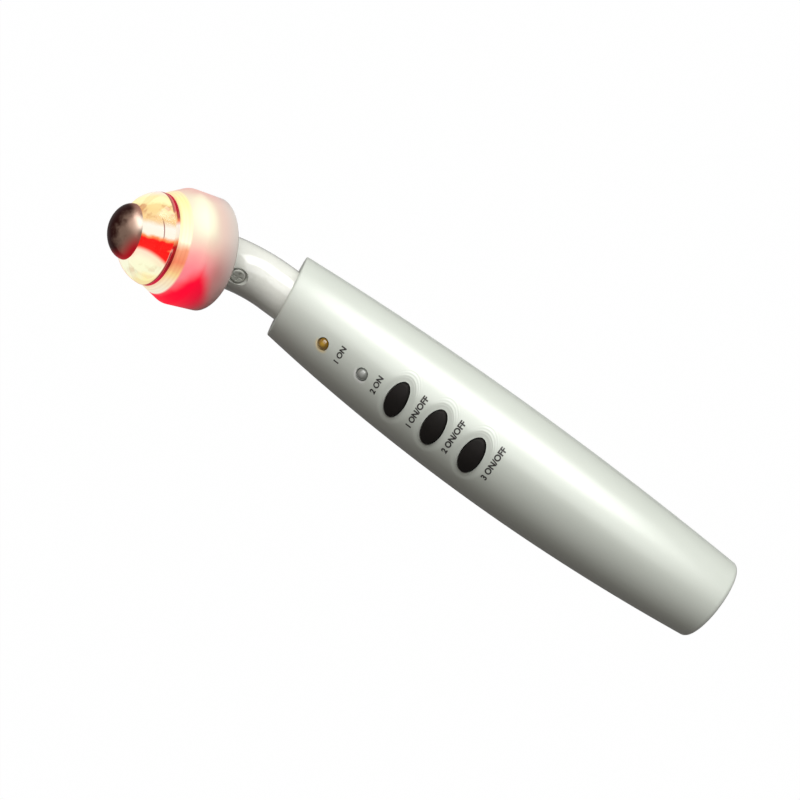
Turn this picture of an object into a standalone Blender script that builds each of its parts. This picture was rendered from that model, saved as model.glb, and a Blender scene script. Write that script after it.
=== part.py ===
# Handheld eye massager: a slim hand grip with three rubber buttons and two indicator lights,
# a bent neck, and a lit head with a milky collar, a clear lens and a heated metal tip.
# X runs along the grip towards the head, Z points up through the buttons, and the flat of the
# back lies on Z = 0. The origin is on that flat, in the rear shell between the battery door and
# the mouth. Lengths are in metres.

import math

import bmesh
import bpy
from mathutils import Matrix, Vector

MM = 0.001
FULL_TURN = 2 * math.pi
HALF_TURN = FULL_TURN / 2
QUARTER_TURN = FULL_TURN / 4
ALONG_X = Matrix.Rotation(QUARTER_TURN, 4, "Y")

# Clearances and cuts
seat_gap = 0.3 * MM
board_gap = 0.2 * MM
overrun = 2.0 * MM
weld_distance = 0.0005 * MM
smooth_angle = math.radians(32)

# Hand grip, a row of circles that rest on one flat. What names end in _back lies back from the mouth.
mouth_x = 47.0 * MM
mouth_reach = 62.0 * MM
tail_room = 26.6 * MM
grip_room = 3.35 * MM
tail_taper = 3.5 * MM
mouth_taper = 2.4 * MM
mouth_slant = math.radians(25.5)
rest_depth = 0.6 * MM
tail_edge = 2.2 * MM
inner_edge = 0.4 * MM
shell_wall = 1.7 * MM
grip_sides = 36
grip_stations = 12
edge_steps = 3

# Battery bay under the back, with its lid
cell_radius = 5.25 * MM
cell_length = 44.5 * MM
cell_nub_radius = 1.9 * MM
cell_nub_length = 1.0 * MM
cell_edge = 0.4 * MM
cell_half_pitch = 5.4 * MM
cell_drop = 1.4 * MM
bay_head_back = 54.5 * MM
tray_roof = 0.8 * MM
tray_wall = 1.3 * MM
tray_half_width = 8.4 * MM
contact_thickness = 0.4 * MM
contact_half_width = 3.5 * MM
contact_tab_half_width = 1.0 * MM
contact_tab_height = 0.8 * MM
contact_tab_reach = 1.2 * MM
spring_length = 3.6 * MM
spring_foot_radius = 3.6 * MM
spring_tip_radius = 2.3 * MM
spring_wire = 0.6 * MM
spring_turns = 3
spring_points_per_turn = 9
door_edge_y = 10.9 * MM
door_top_z = 9.6 * MM
door_wall = 2.0 * MM
grip_groove_radius = 0.8 * MM
grip_groove_depth = 0.5 * MM
grip_groove_pitch = 2.2 * MM
grip_groove_half_length = 3.4 * MM
grip_groove_inset = 5.0 * MM
grip_grooves = 3

# Main board and what stands on it
board_thickness = 1.2 * MM
board_half_width = 8.3 * MM
board_nose_half_width = 6.8 * MM
board_tail_back = 82.0 * MM
board_shoulder_back = 27.0 * MM
board_head_back = 15.8 * MM
board_rib_backs = (35.0 * MM, 18.4 * MM)
board_rib_thickness = 1.4 * MM
board_rib_half_width = 8.3 * MM
rib_window_half_width = 3.6 * MM
rib_window_bottom_z = 8.0 * MM
rib_window_margin = 1.4 * MM
switch_side = 6.0 * MM
switch_height = 3.1 * MM
plunger_radius = 1.7 * MM
plunger_sunk = 1.4 * MM
button_travel = 0.5 * MM
chip_back = 75.0 * MM
chip_length = 6.0 * MM
chip_width = 5.0 * MM
chip_height = 1.6 * MM
coil_back = 27.2 * MM
coil_radius = 2.6 * MM
coil_waist_radius = 1.9 * MM
coil_height = 3.2 * MM
coil_cheek = 0.6 * MM

# Buttons and indicator lights
button_back = 44.4 * MM
button_pitch = 11.2 * MM
button_count = 3
button_half_width = 2.4 * MM
button_half_length = 4.7 * MM
button_rise = 0.5 * MM
button_crown = 0.25 * MM
button_edge = 0.35 * MM
button_flange_margin = 0.9 * MM
button_flange_thickness = 0.8 * MM
button_dish_margin = 1.5 * MM
button_dish_slope = 0.7 * MM
button_dish_depth = 0.35 * MM
button_sides = 24
end_share = 0.5
indicator_backs = (20.8 * MM, 33.7 * MM)
indicator_radius = 1.5 * MM
indicator_flange_radius = 1.9 * MM
indicator_flange_height = 1.0 * MM
indicator_rise = 0.6 * MM
indicator_clearance = 0.2 * MM

# Screws that close the grip
tail_screw_inset = 15.0 * MM
side_screw_back = 43.0 * MM
side_screw_y = 8.8 * MM
screw_split_drop = 1.5 * MM
screw_post_radius = 3.0 * MM
screw_boss_radius = 2.6 * MM
screw_head_radius = 2.1 * MM
screw_head_height = 1.5 * MM
screw_shank_radius = 1.1 * MM
screw_grip = 2.4 * MM
screw_reach = 6.0 * MM
screw_slot_width = 0.6 * MM
screw_slot_depth = 0.8 * MM
screw_slot_half_length = 1.3 * MM
screw_sides = 20

# Neck
neck_rise = 0.7 * MM
neck_radius = 7.2 * MM
neck_wall = 2.0 * MM
neck_flange_back = 12.0 * MM
neck_flange_radius = 9.2 * MM
neck_flange_thickness = 2.0 * MM
neck_collar_wall = 1.5 * MM
bend_start_ahead = 4.3 * MM
bend_radius = 16.2 * MM
head_tilt = math.radians(62)
neck_sides = 24
bend_steps = 8

# Screw that locks the head on the neck
lock_screw_back = 6.1 * MM
lock_roll = math.radians(4)
lock_recess_radius = 2.1 * MM
lock_recess_depth = 1.1 * MM
lock_head_height = 0.8 * MM
lock_shank_radius = 0.9 * MM
lock_reach = 2.4 * MM

# Head, measured along its own axis from the end of the bend
collar_radius = 14.95 * MM
collar_wall = 1.6 * MM
collar_back_along = 0.9 * MM
collar_opening_radius = 7.6 * MM
collar_shoulder_along = 3.6 * MM
collar_corner_along = 11.9 * MM
collar_front_along = 17.2 * MM
collar_front_radius = 11.9 * MM
collar_corner_edge = 0.9 * MM
collar_lip_depth = 1.4 * MM
shoulder_steps = 5
shoulder_power = 1.35
base_thickness = 1.6 * MM
spigot_wall = 1.7 * MM
spigot_length = 11.0 * MM
seal_thickness = 0.5 * MM
seal_width = 1.2 * MM
lens_rim_radius = 11.65 * MM
lens_rim_height = 0.4 * MM
lens_wall = 1.5 * MM
lens_skirt_depth = 3.0 * MM
lens_skirt_wall = 1.2 * MM
lens_bulge_share = 0.13
lens_steps = 5
cap_along = 24.5 * MM
cap_radius = 6.9 * MM
cap_height = 4.6 * MM
cap_wall = 1.0 * MM
cap_shelf = 1.3 * MM
cap_steps = 6
dome_power = 1.18
stem_radius = 4.8 * MM
stem_bore_radius = 3.4 * MM
stem_foot_radius = 6.2 * MM
stem_step_along = 18.6 * MM
stem_top_along = 25.5 * MM
heater_radius = 4.0 * MM
heater_bore = 0.8 * MM
heater_thickness = 1.0 * MM
lamp_board_thickness = 1.2 * MM
lamp_board_inset = 0.5 * MM
lamp_board_bore = 1.9 * MM
lamp_count = 6
lamp_circle = 9.2 * MM
lamp_radius = 1.5 * MM
lamp_height = 4.2 * MM
head_sides = 32

# Leads
lead_radius = 0.45 * MM
lead_pitch = 1.2 * MM
lead_start_back = 22.2 * MM
lead_drop = 1.2 * MM
lead_sides_setting = 1
lead_step = 3.0 * MM
cell_lead_drop_x = 1.8 * MM

# Sizes that follow from the ones above
belly_x = mouth_x - mouth_reach
belly_radius = cell_half_pitch + cell_radius + grip_room
cell_axis_z = belly_radius - rest_depth - cell_drop
cell_top_z = cell_axis_z + cell_radius
roof_bottom_z = cell_top_z + seat_gap
roof_top_z = roof_bottom_z + tray_roof
board_bottom_z = roof_top_z + board_gap
board_top_z = board_bottom_z + board_thickness
parts_foot_z = board_top_z + board_gap
switch_top_z = parts_foot_z + switch_height
bay_length = cell_length + spring_length + 2 * contact_thickness + 5 * seat_gap
bay_head_x = mouth_x - bay_head_back
bay_tail_x = bay_head_x - bay_length
tail_x = bay_tail_x - tail_room
tail_reach = belly_x - tail_x
button_x = mouth_x - button_back
indicator_xs = [mouth_x - back for back in indicator_backs]
board_rib_xs = [mouth_x - back for back in board_rib_backs]
coil_x = mouth_x - coil_back
chip_x = mouth_x - chip_back
lead_start_x = mouth_x - lead_start_back
neck_flange_x = mouth_x - neck_flange_back
bend_start_x = mouth_x + bend_start_ahead
base_along = collar_shoulder_along + seat_gap
neck_end_along = base_along - seat_gap
base_radius = collar_radius - collar_wall - seat_gap
lamp_board_radius = base_radius - lamp_board_inset
head_board_along = base_along + base_thickness + seat_gap
head_lamp_along = head_board_along + lamp_board_thickness + seat_gap
neck_bore_radius = neck_radius - neck_wall
spigot_radius = neck_bore_radius - seat_gap
spigot_bore_radius = spigot_radius - spigot_wall
lens_rim_along = collar_front_along + seat_gap + seal_thickness + seat_gap


def grip_radius(x):
    """Radius of the grip's round section at x."""
    if x < belly_x:
        return belly_radius - tail_taper * ((x - belly_x) / tail_reach) ** 2
    return belly_radius - mouth_taper * ((x - belly_x) / mouth_reach) ** 2


def grip_axis_z(x):
    """Height of the section's centre: every circle reaches rest_depth below the flat."""
    return grip_radius(x) - rest_depth


def skin_top_z(x, y, inset):
    """Height of the grip's upper skin at x, y, measured inset below the outer surface."""
    radius = grip_radius(x) - inset
    return grip_axis_z(x) + math.sqrt(max(radius * radius - y * y, 0))


neck_z = grip_axis_z(mouth_x) + neck_rise
bend_end = Vector((bend_start_x + bend_radius * math.sin(head_tilt), 0,
                   neck_z + bend_radius * (1 - math.cos(head_tilt))))
head_frame = Matrix.Translation(bend_end) @ Matrix.Rotation(QUARTER_TURN - head_tilt, 4, "Y")
bend_length = bend_radius * head_tilt


def neck_path(along):
    """Point, direction and upward normal on the neck's centre line, along from the bend's start."""
    if along <= 0:
        return Vector((bend_start_x + along, 0, neck_z)), Vector((1, 0, 0)), Vector((0, 0, 1))
    angle = min(along / bend_radius, head_tilt)
    beyond = max(along - bend_length, 0)
    direction = Vector((math.cos(angle), 0, math.sin(angle)))
    point = Vector((bend_start_x + bend_radius * math.sin(angle), 0,
                    neck_z + bend_radius * (1 - math.cos(angle))))
    return point + direction * beyond, direction, Vector((-math.sin(angle), 0, math.cos(angle)))


# Finishes, from the colours in the photograph
class Finish:
    """Colour, metallic value, roughness and opacity of one material."""

    def __init__(self, color, metallic=0.0, roughness=0.4, alpha=1.0):
        self.color = color
        self.metallic = metallic
        self.roughness = roughness
        self.alpha = alpha


pearl = Finish((0.80, 0.81, 0.79), metallic=0.15, roughness=0.32)
gloss_white = Finish((0.84, 0.85, 0.83), roughness=0.15)
milky = Finish((0.95, 0.86, 0.84), roughness=0.35, alpha=0.85)
clear = Finish((0.98, 0.97, 0.92), roughness=0.03, alpha=0.3)
red_seal = Finish((0.45, 0.01, 0.03), roughness=0.3)
polished_steel = Finish((0.55, 0.53, 0.53), metallic=1.0, roughness=0.08)
spring_steel = Finish((0.70, 0.70, 0.68), metallic=1.0, roughness=0.25)
black_rubber = Finish((0.015, 0.012, 0.012), roughness=0.6)
black_plastic = Finish((0.03, 0.03, 0.03), roughness=0.4)
white_plastic = Finish((0.85, 0.85, 0.84), roughness=0.4)
amber_lens = Finish((0.95, 0.60, 0.15), roughness=0.1, alpha=0.8)
clear_lens = Finish((0.85, 0.86, 0.84), roughness=0.1, alpha=0.6)
lamp_red = Finish((0.95, 0.08, 0.08), roughness=0.1, alpha=0.8)
board_green = Finish((0.03, 0.22, 0.10), roughness=0.4)
ceramic = Finish((0.75, 0.70, 0.62), roughness=0.6)
cell_jacket = Finish((0.12, 0.20, 0.42), metallic=0.4, roughness=0.3)
ferrite = Finish((0.10, 0.10, 0.11), roughness=0.6)
lead_red = Finish((0.60, 0.02, 0.02), roughness=0.45)
lead_black = Finish((0.02, 0.02, 0.02), roughness=0.45)
lead_yellow = Finish((0.75, 0.55, 0.05), roughness=0.45)


# Building helpers
def clear_scene():
    """Remove whatever the open file holds."""
    for found in list(bpy.data.objects):
        bpy.data.objects.remove(found, do_unlink=True)


def add_object(name, data, finish, frame=None):
    """Put a mesh or curve in the scene under its name, with its own material."""
    made = bpy.data.objects.new(name, data)
    bpy.context.scene.collection.objects.link(made)
    material = bpy.data.materials.new(name)
    material.use_nodes = True
    shader = material.node_tree.nodes["Principled BSDF"]
    shader.inputs["Base Color"].default_value = (*finish.color, 1)
    shader.inputs["Metallic"].default_value = finish.metallic
    shader.inputs["Roughness"].default_value = finish.roughness
    shader.inputs["Alpha"].default_value = finish.alpha
    data.materials.append(material)
    if frame is not None:
        made.matrix_world = frame
    return made


def finish_mesh(name, bm, finish, frame=None):
    """Turn a bmesh into a smooth-shaded object with its faces pointing out."""
    bmesh.ops.recalc_face_normals(bm, faces=bm.faces)
    if bm.calc_volume(signed=True) < 0:
        bmesh.ops.reverse_faces(bm, faces=bm.faces)
    mesh = bpy.data.meshes.new(name)
    bm.to_mesh(mesh)
    bm.free()
    mesh.shade_smooth()
    mesh.set_sharp_from_angle(angle=smooth_angle)
    return add_object(name, mesh, finish, frame)


def as_guide(made):
    """Mark an object as a cutter or an adder that isn't a piece."""
    made.hide_render = True
    made.display_type = "WIRE"
    return made


def combine(target, other, operation):
    """Cut, join or intersect the target with another object."""
    step = target.modifiers.new(other.name, "BOOLEAN")
    step.operation = operation
    step.object = other


def skin(bm, places, sides):
    """Skin a row of unit circles, each put in place by a matrix, cap the ends and return the rows."""
    circle = bmesh.ops.create_circle(bm, cap_ends=False, radius=1, segments=sides, matrix=places[0])
    rows = [circle["verts"]]
    first = list({edge for vert in rows[0] for edge in vert.link_edges})
    edges = first
    for before, after in zip(places, places[1:]):
        pushed = bmesh.ops.extrude_edge_only(bm, edges=edges)["geom"]
        row = [item for item in pushed if isinstance(item, bmesh.types.BMVert)]
        edges = [item for item in pushed if isinstance(item, bmesh.types.BMEdge)
                 and all(vert in row for vert in item.verts)]
        bmesh.ops.transform(bm, matrix=after @ before.inverted(), verts=row)
        rows.append(row)
    bmesh.ops.holes_fill(bm, edges=first + edges, sides=0)
    return rows


def turned(name, outline, finish, frame, sides=head_sides):
    """Lathe an outline of (radius, along) pairs about the frame's Z axis.

    An outline that starts and ends on the axis is open; any other is closed into a ring.
    """
    bm = bmesh.new()
    points = [bm.verts.new((radius, 0, along)) for radius, along in outline]
    follow = points[1:] if outline[0][0] == 0 else points[1:] + points[:1]
    edges = [bm.edges.new(pair) for pair in zip(points, follow)]
    bmesh.ops.spin(bm, geom=points + edges, cent=(0, 0, 0), axis=(0, 0, 1),
                   angle=FULL_TURN, steps=sides, use_merge=True)
    bmesh.ops.remove_doubles(bm, verts=bm.verts, dist=weld_distance)
    return finish_mesh(name, bm, finish, frame)


def add_box(bm, low, high):
    """Add a box between two corners."""
    size = Vector(high) - Vector(low)
    centre = (Vector(high) + Vector(low)) / 2
    place = Matrix.Translation(centre) @ Matrix.Diagonal((*size, 1))
    bmesh.ops.create_cube(bm, size=1, matrix=place)


def add_rod(bm, radius, low, high, place, sides=screw_sides):
    """Add a closed cylinder along the local Z axis of place, from low to high."""
    middle = place @ Matrix.Translation((0, 0, (low + high) / 2))
    bmesh.ops.create_cone(bm, cap_ends=True, segments=sides, radius1=radius, radius2=radius,
                          depth=high - low, matrix=middle)


def boxes(name, corners, finish):
    """One object of one or more boxes, each from a low and a high corner."""
    bm = bmesh.new()
    for low, high in corners:
        add_box(bm, low, high)
    return finish_mesh(name, bm, finish)


def drill(target, name, frame, steps, sides=screw_sides):
    """Cut a round hole into the target along the frame's Z axis; each step is (radius, low, high)."""
    outline = [(0, steps[0][1])]
    for radius, low, high in steps:
        outline += [(radius, low), (radius, high)]
    outline.append((0, steps[-1][2]))
    combine(target, as_guide(turned(name, outline, pearl, frame, sides)), "DIFFERENCE")


def slice_off(bm, point, outward):
    """Cut away what lies beyond a plane and close the cut."""
    geometry = bm.verts[:] + bm.edges[:] + bm.faces[:]
    bmesh.ops.bisect_plane(bm, geom=geometry, plane_co=point, plane_no=outward, clear_outer=True)
    bmesh.ops.holes_fill(bm, edges=[edge for edge in bm.edges if edge.is_boundary], sides=0)


def swept(name, stations, finish, sides=neck_sides):
    """Skin circles of (along, radius) that follow the neck's centre line, as a solid bar."""
    places = []
    for along, radius in stations:
        point, direction, _ = neck_path(along)
        turn = direction.to_track_quat("Z", "Y").to_matrix().to_4x4()
        places.append(Matrix.Translation(point) @ turn @ Matrix.Diagonal((radius, radius, 1, 1)))
    bm = bmesh.new()
    skin(bm, places, sides)
    return finish_mesh(name, bm, finish)


def oval_stack(name, centre_x, layers, finish):
    """Skin ovals that follow the grip's surface: each layer is (half_x, half_y, inset)."""
    first, last = [tuple(size * end_share for size in layer[:2]) + layer[2:]
                   for layer in (layers[0], layers[-1])]
    layers = [first] + layers + [last]
    places = [Matrix.Translation((centre_x, 0, 0)) @ Matrix.Diagonal((half_x, half_y, 1, 1))
              for half_x, half_y, _ in layers]
    bm = bmesh.new()
    for row, (_, _, inset) in zip(skin(bm, places, button_sides), layers):
        for vert in row:
            vert.co.z = skin_top_z(vert.co.x, vert.co.y, inset)
    return finish_mesh(name, bm, finish)


def smooth_route(route):
    """Points at even steps on a smooth curve through the route's own points."""
    ends = [route[0] * 2 - route[1]] + route + [route[-1] * 2 - route[-2]]
    points = [route[0]]
    for before, start, stop, after in zip(ends, ends[1:], ends[2:], ends[3:]):
        steps = max(1, round((stop - start).length / lead_step))
        for step in range(1, steps + 1):
            t = step / steps
            points.append((start * 2 + (stop - before) * t
                           + (before * 2 - start * 5 + stop * 4 - after) * t ** 2
                           + (start * 3 - before - stop * 3 + after) * t ** 3) / 2)
    return points


def wire(name, points, radius, finish):
    """A round wire along a row of points, with closed ends."""
    curve = bpy.data.curves.new(name, "CURVE")
    curve.dimensions = "3D"
    curve.bevel_depth = radius
    curve.bevel_resolution = lead_sides_setting
    curve.use_fill_caps = True
    spline = curve.splines.new("POLY")
    spline.points.add(len(points) - 1)
    for knot, point in zip(spline.points, points):
        knot.co = (*point, 1)
    return add_object(name, curve, finish)


# Hand grip
def mouth_plane(setback):
    """Point and outward normal of the slanted mouth, set back into the grip."""
    outward = Vector((math.cos(mouth_slant), 0, math.sin(mouth_slant)))
    return Vector((mouth_x, 0, grip_axis_z(mouth_x))) - outward * setback, outward


def grip_form(name, inset, tail_inset):
    """The grip's closed outer form, or its hollow when inset by a wall."""
    edge = max(tail_edge - inset, inner_edge)
    start_x = tail_x + tail_inset
    stop_x = mouth_x + belly_radius * math.tan(mouth_slant) + overrun
    stations = []
    for step in range(edge_steps):
        angle = QUARTER_TURN * step / edge_steps
        x = start_x + edge * (1 - math.sin(angle))
        stations.append((x, grip_radius(x) - inset - edge * (1 - math.cos(angle))))
    stations.reverse()
    stations.insert(0, (start_x, grip_radius(start_x) - inset - edge))
    straight_x = start_x + edge
    for step in range(1, grip_stations + 1):
        x = straight_x + (stop_x - straight_x) * step / grip_stations
        stations.append((x, grip_radius(x) - inset))
    bm = bmesh.new()
    skin(bm, [Matrix.Translation((x, 0, grip_axis_z(x))) @ ALONG_X @ Matrix.Diagonal((radius, radius, 1, 1))
              for x, radius in stations], grip_sides)
    slice_off(bm, *mouth_plane(tail_inset))
    if inset < rest_depth:
        slice_off(bm, Vector((0, 0, 0)), Vector((0, 0, -1)))
    return finish_mesh(name, bm, pearl)


def parting_block(name, side):
    """Block above (side 1) or below (side -1) the line where the two shells meet."""
    start_x = tail_x - overrun
    stop_x = mouth_x + belly_radius
    far_z = (belly_radius + overrun) * 2 if side > 0 else -overrun
    bm = bmesh.new()
    outline = [(start_x, far_z)]
    for step in range(grip_stations + 1):
        x = start_x + (stop_x - start_x) * step / grip_stations
        outline.append((x, grip_axis_z(x) + side * seat_gap / 2))
    outline.append((stop_x, far_z))
    face = bm.faces.new([bm.verts.new((x, -belly_radius - overrun, z)) for x, z in outline])
    pushed = bmesh.ops.extrude_face_region(bm, geom=[face])
    moved = [item for item in pushed["geom"] if isinstance(item, bmesh.types.BMVert)]
    bmesh.ops.translate(bm, verts=moved, vec=(0, 2 * (belly_radius + overrun), 0))
    return as_guide(finish_mesh(name, bm, pearl))


def neck_seats(name):
    """The two round walls that trap the neck's flange."""
    bm = bmesh.new()
    for low in (neck_flange_x - seat_gap - neck_collar_wall,
                neck_flange_x + neck_flange_thickness + seat_gap):
        middle = low + neck_collar_wall / 2
        place = Matrix.Translation((middle, 0, grip_axis_z(middle))) @ ALONG_X
        add_rod(bm, grip_radius(middle) - shell_wall / 2, -neck_collar_wall / 2,
                neck_collar_wall / 2, place, grip_sides)
    return as_guide(finish_mesh(name, bm, pearl))


def neck_holes(name):
    """Bores for the neck in the front walls and for the leads in the rear one."""
    bm = bmesh.new()
    place = Matrix.Translation((0, 0, neck_z)) @ ALONG_X
    flange_front = neck_flange_x + neck_flange_thickness
    add_rod(bm, neck_bore_radius, neck_flange_x - seat_gap - neck_collar_wall - overrun,
            neck_flange_x - seat_gap + overrun / 2, place, neck_sides)
    add_rod(bm, neck_radius + seat_gap, flange_front, mouth_x + belly_radius, place, neck_sides)
    return as_guide(finish_mesh(name, bm, pearl))


def whole_shell(name, block):
    """The hollow grip with its neck seats, cut to one side of the parting line."""
    shell = grip_form(name, 0, 0)
    combine(shell, bpy.data.objects["grip_hollow"], "DIFFERENCE")
    combine(shell, bpy.data.objects["neck_seats"], "UNION")
    combine(shell, bpy.data.objects["neck_holes"], "DIFFERENCE")
    combine(shell, block, "INTERSECT")
    return shell


def button_xs():
    """Places of the buttons, from the head end."""
    return [button_x - index * button_pitch for index in range(button_count)]


def screw_places():
    """Place (x, y), post top and name of each shell screw."""
    tail_screw_x = tail_x + tail_screw_inset
    side_screw_x = mouth_x - side_screw_back
    return [(name, x, y, grip_axis_z(x) - screw_split_drop) for name, x, y in (
        ("tail_screw", tail_screw_x, 0),
        ("side_screw_left", side_screw_x, side_screw_y),
        ("side_screw_right", side_screw_x, -side_screw_y))]


def trimmed_to_shell(guide):
    """Keep what lies within the middle of the shell's wall."""
    combine(guide, bpy.data.objects["wall_middle"], "INTERSECT")
    return guide


def make_front_shell():
    """Button side of the grip, with its dishes, holes and screw bosses."""
    shell = whole_shell("front_shell", parting_block("upper_block", 1))
    bm = bmesh.new()
    for _, x, y, top_z in screw_places():
        add_rod(bm, screw_boss_radius, top_z + seat_gap, belly_radius * 2, Matrix.Translation((x, y, 0)))
    bosses = as_guide(finish_mesh("front_bosses", bm, pearl))
    combine(shell, trimmed_to_shell(bosses), "UNION")
    for name, x, y, top_z in screw_places():
        drill(shell, f"{name}_pilot", Matrix.Translation((x, y, 0)), [
            (screw_shank_radius + seat_gap, top_z - overrun, top_z + screw_reach + seat_gap)])
    for index, x in enumerate(indicator_xs, start=1):
        drill(shell, f"indicator_hole_{index}", Matrix.Translation((x, 0, 0)), [
            (indicator_radius + indicator_clearance, skin_top_z(x, 0, shell_wall) - overrun,
             skin_top_z(x, 0, 0) + overrun)])
    for index, x in enumerate(button_xs(), start=1):
        dish_x = button_half_width + button_dish_margin
        dish_y = button_half_length + button_dish_margin
        rim_x = dish_x + button_dish_slope
        rim_y = dish_y + button_dish_slope
        dish = oval_stack(f"button_dish_{index}", x, [
            (dish_x, dish_y, button_dish_depth),
            (rim_x, rim_y, 0),
            (rim_x, rim_y, -overrun)], pearl)
        combine(shell, as_guide(dish), "DIFFERENCE")
        hole_x = button_half_width + seat_gap
        hole_y = button_half_length + seat_gap
        hole = oval_stack(f"button_hole_{index}", x, [
            (hole_x, hole_y, shell_wall + overrun),
            (hole_x, hole_y, -overrun)], pearl)
        combine(shell, as_guide(hole), "DIFFERENCE")


def door_corners(inset):
    """Low and high corner of the battery opening, drawn in by inset on every side but the outer."""
    return ((bay_tail_x + inset, -door_edge_y + inset, -overrun),
            (bay_head_x - inset, door_edge_y - inset, door_top_z - inset))


def make_rear_shell():
    """Back of the grip, with the battery opening, board ribs and screw posts."""
    shell = whole_shell("rear_shell", parting_block("lower_block", -1))
    opening = as_guide(boxes("door_opening", [door_corners(0)], pearl))
    combine(shell, opening, "DIFFERENCE")
    bm = bmesh.new()
    for _, x, y, top_z in screw_places():
        add_rod(bm, screw_post_radius, -overrun, top_z, Matrix.Translation((x, y, 0)))
    combine(shell, trimmed_to_shell(as_guide(finish_mesh("rear_posts", bm, pearl))), "UNION")
    ribs = []
    for x in board_rib_xs:
        ribs.append(((x - board_rib_thickness / 2, -board_rib_half_width, -overrun),
                     (x + board_rib_thickness / 2, board_rib_half_width, roof_top_z)))
    windows = []
    for x in board_rib_xs:
        windows.append(((x - board_rib_thickness, -rib_window_half_width, rib_window_bottom_z),
                        (x + board_rib_thickness, rib_window_half_width,
                         roof_top_z - rib_window_margin)))
    combine(shell, trimmed_to_shell(as_guide(boxes("board_ribs", ribs, pearl))), "UNION")
    combine(shell, as_guide(boxes("rib_windows", windows, pearl)), "DIFFERENCE")
    for name, x, y, top_z in screw_places():
        drill(shell, f"{name}_hole", Matrix.Translation((x, y, 0)), [
            (screw_head_radius + seat_gap, -overrun, top_z - screw_grip),
            (screw_shank_radius + seat_gap, top_z - screw_grip, top_z + overrun)])


def make_battery_door():
    """Lid of the battery bay, a little above the rest plane, with grip grooves at its tail end."""
    door = grip_form("battery_door", 0, 0)
    combine(door, bpy.data.objects["door_hollow"], "DIFFERENCE")
    low, high = door_corners(seat_gap)
    blank = boxes("door_blank", [((low[0], low[1], seat_gap), high)], pearl)
    combine(door, as_guide(blank), "INTERSECT")
    bm = bmesh.new()
    for index in range(grip_grooves):
        x = bay_tail_x + grip_groove_inset + index * grip_groove_pitch
        place = Matrix.Translation((x, 0, seat_gap + grip_groove_depth - grip_groove_radius))
        place = place @ Matrix.Rotation(QUARTER_TURN, 4, "X")
        add_rod(bm, grip_groove_radius, -grip_groove_half_length, grip_groove_half_length, place)
    combine(door, as_guide(finish_mesh("door_grooves", bm, pearl)), "DIFFERENCE")


def make_grip():
    """Both shells and the lid, with the forms that they are cut from."""
    as_guide(grip_form("grip_hollow", shell_wall, shell_wall))
    as_guide(grip_form("wall_middle", shell_wall / 2, shell_wall / 2))
    as_guide(grip_form("door_hollow", door_wall, shell_wall))
    neck_seats("neck_seats")
    neck_holes("neck_holes")
    make_front_shell()
    make_rear_shell()
    make_battery_door()


def make_screw(name, frame, head_radius, head_height, shank_radius, reach, finish):
    """Pan-head screw with a cross recess. Its shank points along the frame's Z axis."""
    outline = [(0, 0), (head_radius - head_height / 3, 0), (head_radius, head_height / 3),
               (head_radius, head_height), (shank_radius, head_height),
               (shank_radius, reach - shank_radius), (0, reach)]
    screw = turned(name, outline, finish, frame, screw_sides)
    half_width = screw_slot_width / 2
    half_length = min(screw_slot_half_length, head_radius - head_height / 3 - half_width)
    depth = min(screw_slot_depth, head_height / 2)
    for direction in (0, QUARTER_TURN):
        slot = boxes(f"{name}_slot_{round(direction)}", [
            ((-half_length, -half_width, -overrun), (half_length, half_width, depth))], finish)
        slot.matrix_world = frame @ Matrix.Rotation(direction, 4, "Z")
        combine(screw, as_guide(slot), "DIFFERENCE")


def make_shell_screws():
    """Three screws that close the grip from the back."""
    for name, x, y, top_z in screw_places():
        head_z = top_z - screw_grip - seat_gap - screw_head_height
        frame = Matrix.Translation((x, y, head_z))
        reach = top_z + screw_reach - seat_gap - head_z
        make_screw(name, frame, screw_head_radius, screw_head_height, screw_shank_radius, reach,
                   spring_steel)


# Battery bay
def make_battery_tray():
    """Roof and end walls of the bay, seated on the rear shell beside the opening."""
    roof_low = (bay_tail_x - tray_wall, -tray_half_width, roof_bottom_z)
    roof_high = (bay_head_x + tray_wall, tray_half_width, roof_top_z)
    tray = boxes("battery_tray", [(roof_low, roof_high)], white_plastic)
    bm = bmesh.new()
    for low in (bay_tail_x - tray_wall, bay_head_x):
        narrow_x = low if low < belly_x else low + tray_wall
        radius = grip_radius(narrow_x) - shell_wall - seat_gap
        place = Matrix.Translation((0, 0, grip_axis_z(narrow_x))) @ ALONG_X
        add_rod(bm, radius, low, low + tray_wall, place, grip_sides)
    slice_off(bm, Vector((0, 0, roof_top_z - tray_roof / 2)), Vector((0, 0, 1)))
    combine(tray, as_guide(finish_mesh("tray_walls", bm, white_plastic)), "UNION")
    slots = []
    for side in (-1, 1):
        y = side * cell_half_pitch
        half_y = contact_tab_half_width + board_gap
        half_z = contact_tab_height / 2 + board_gap
        slots.append(((bay_head_x - overrun, y - half_y, cell_axis_z - half_z),
                      (bay_head_x + tray_wall + overrun, y + half_y, cell_axis_z + half_z)))
    combine(tray, as_guide(boxes("tray_slots", slots, white_plastic)), "DIFFERENCE")


def make_cell(name, y, flat_x, nub_side):
    """One cylindrical cell, lying along X with its nub towards nub_side."""
    can_length = cell_length - cell_nub_length
    outline = [(0, 0), (cell_radius - cell_edge, 0), (cell_radius, cell_edge),
               (cell_radius, can_length - cell_edge), (cell_radius - cell_edge, can_length),
               (cell_nub_radius, can_length), (cell_nub_radius, cell_length), (0, cell_length)]
    turn = ALONG_X if nub_side > 0 else Matrix.Rotation(-QUARTER_TURN, 4, "Y")
    turned(name, outline, cell_jacket, Matrix.Translation((flat_x, y, cell_axis_z)) @ turn, button_sides)


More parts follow.
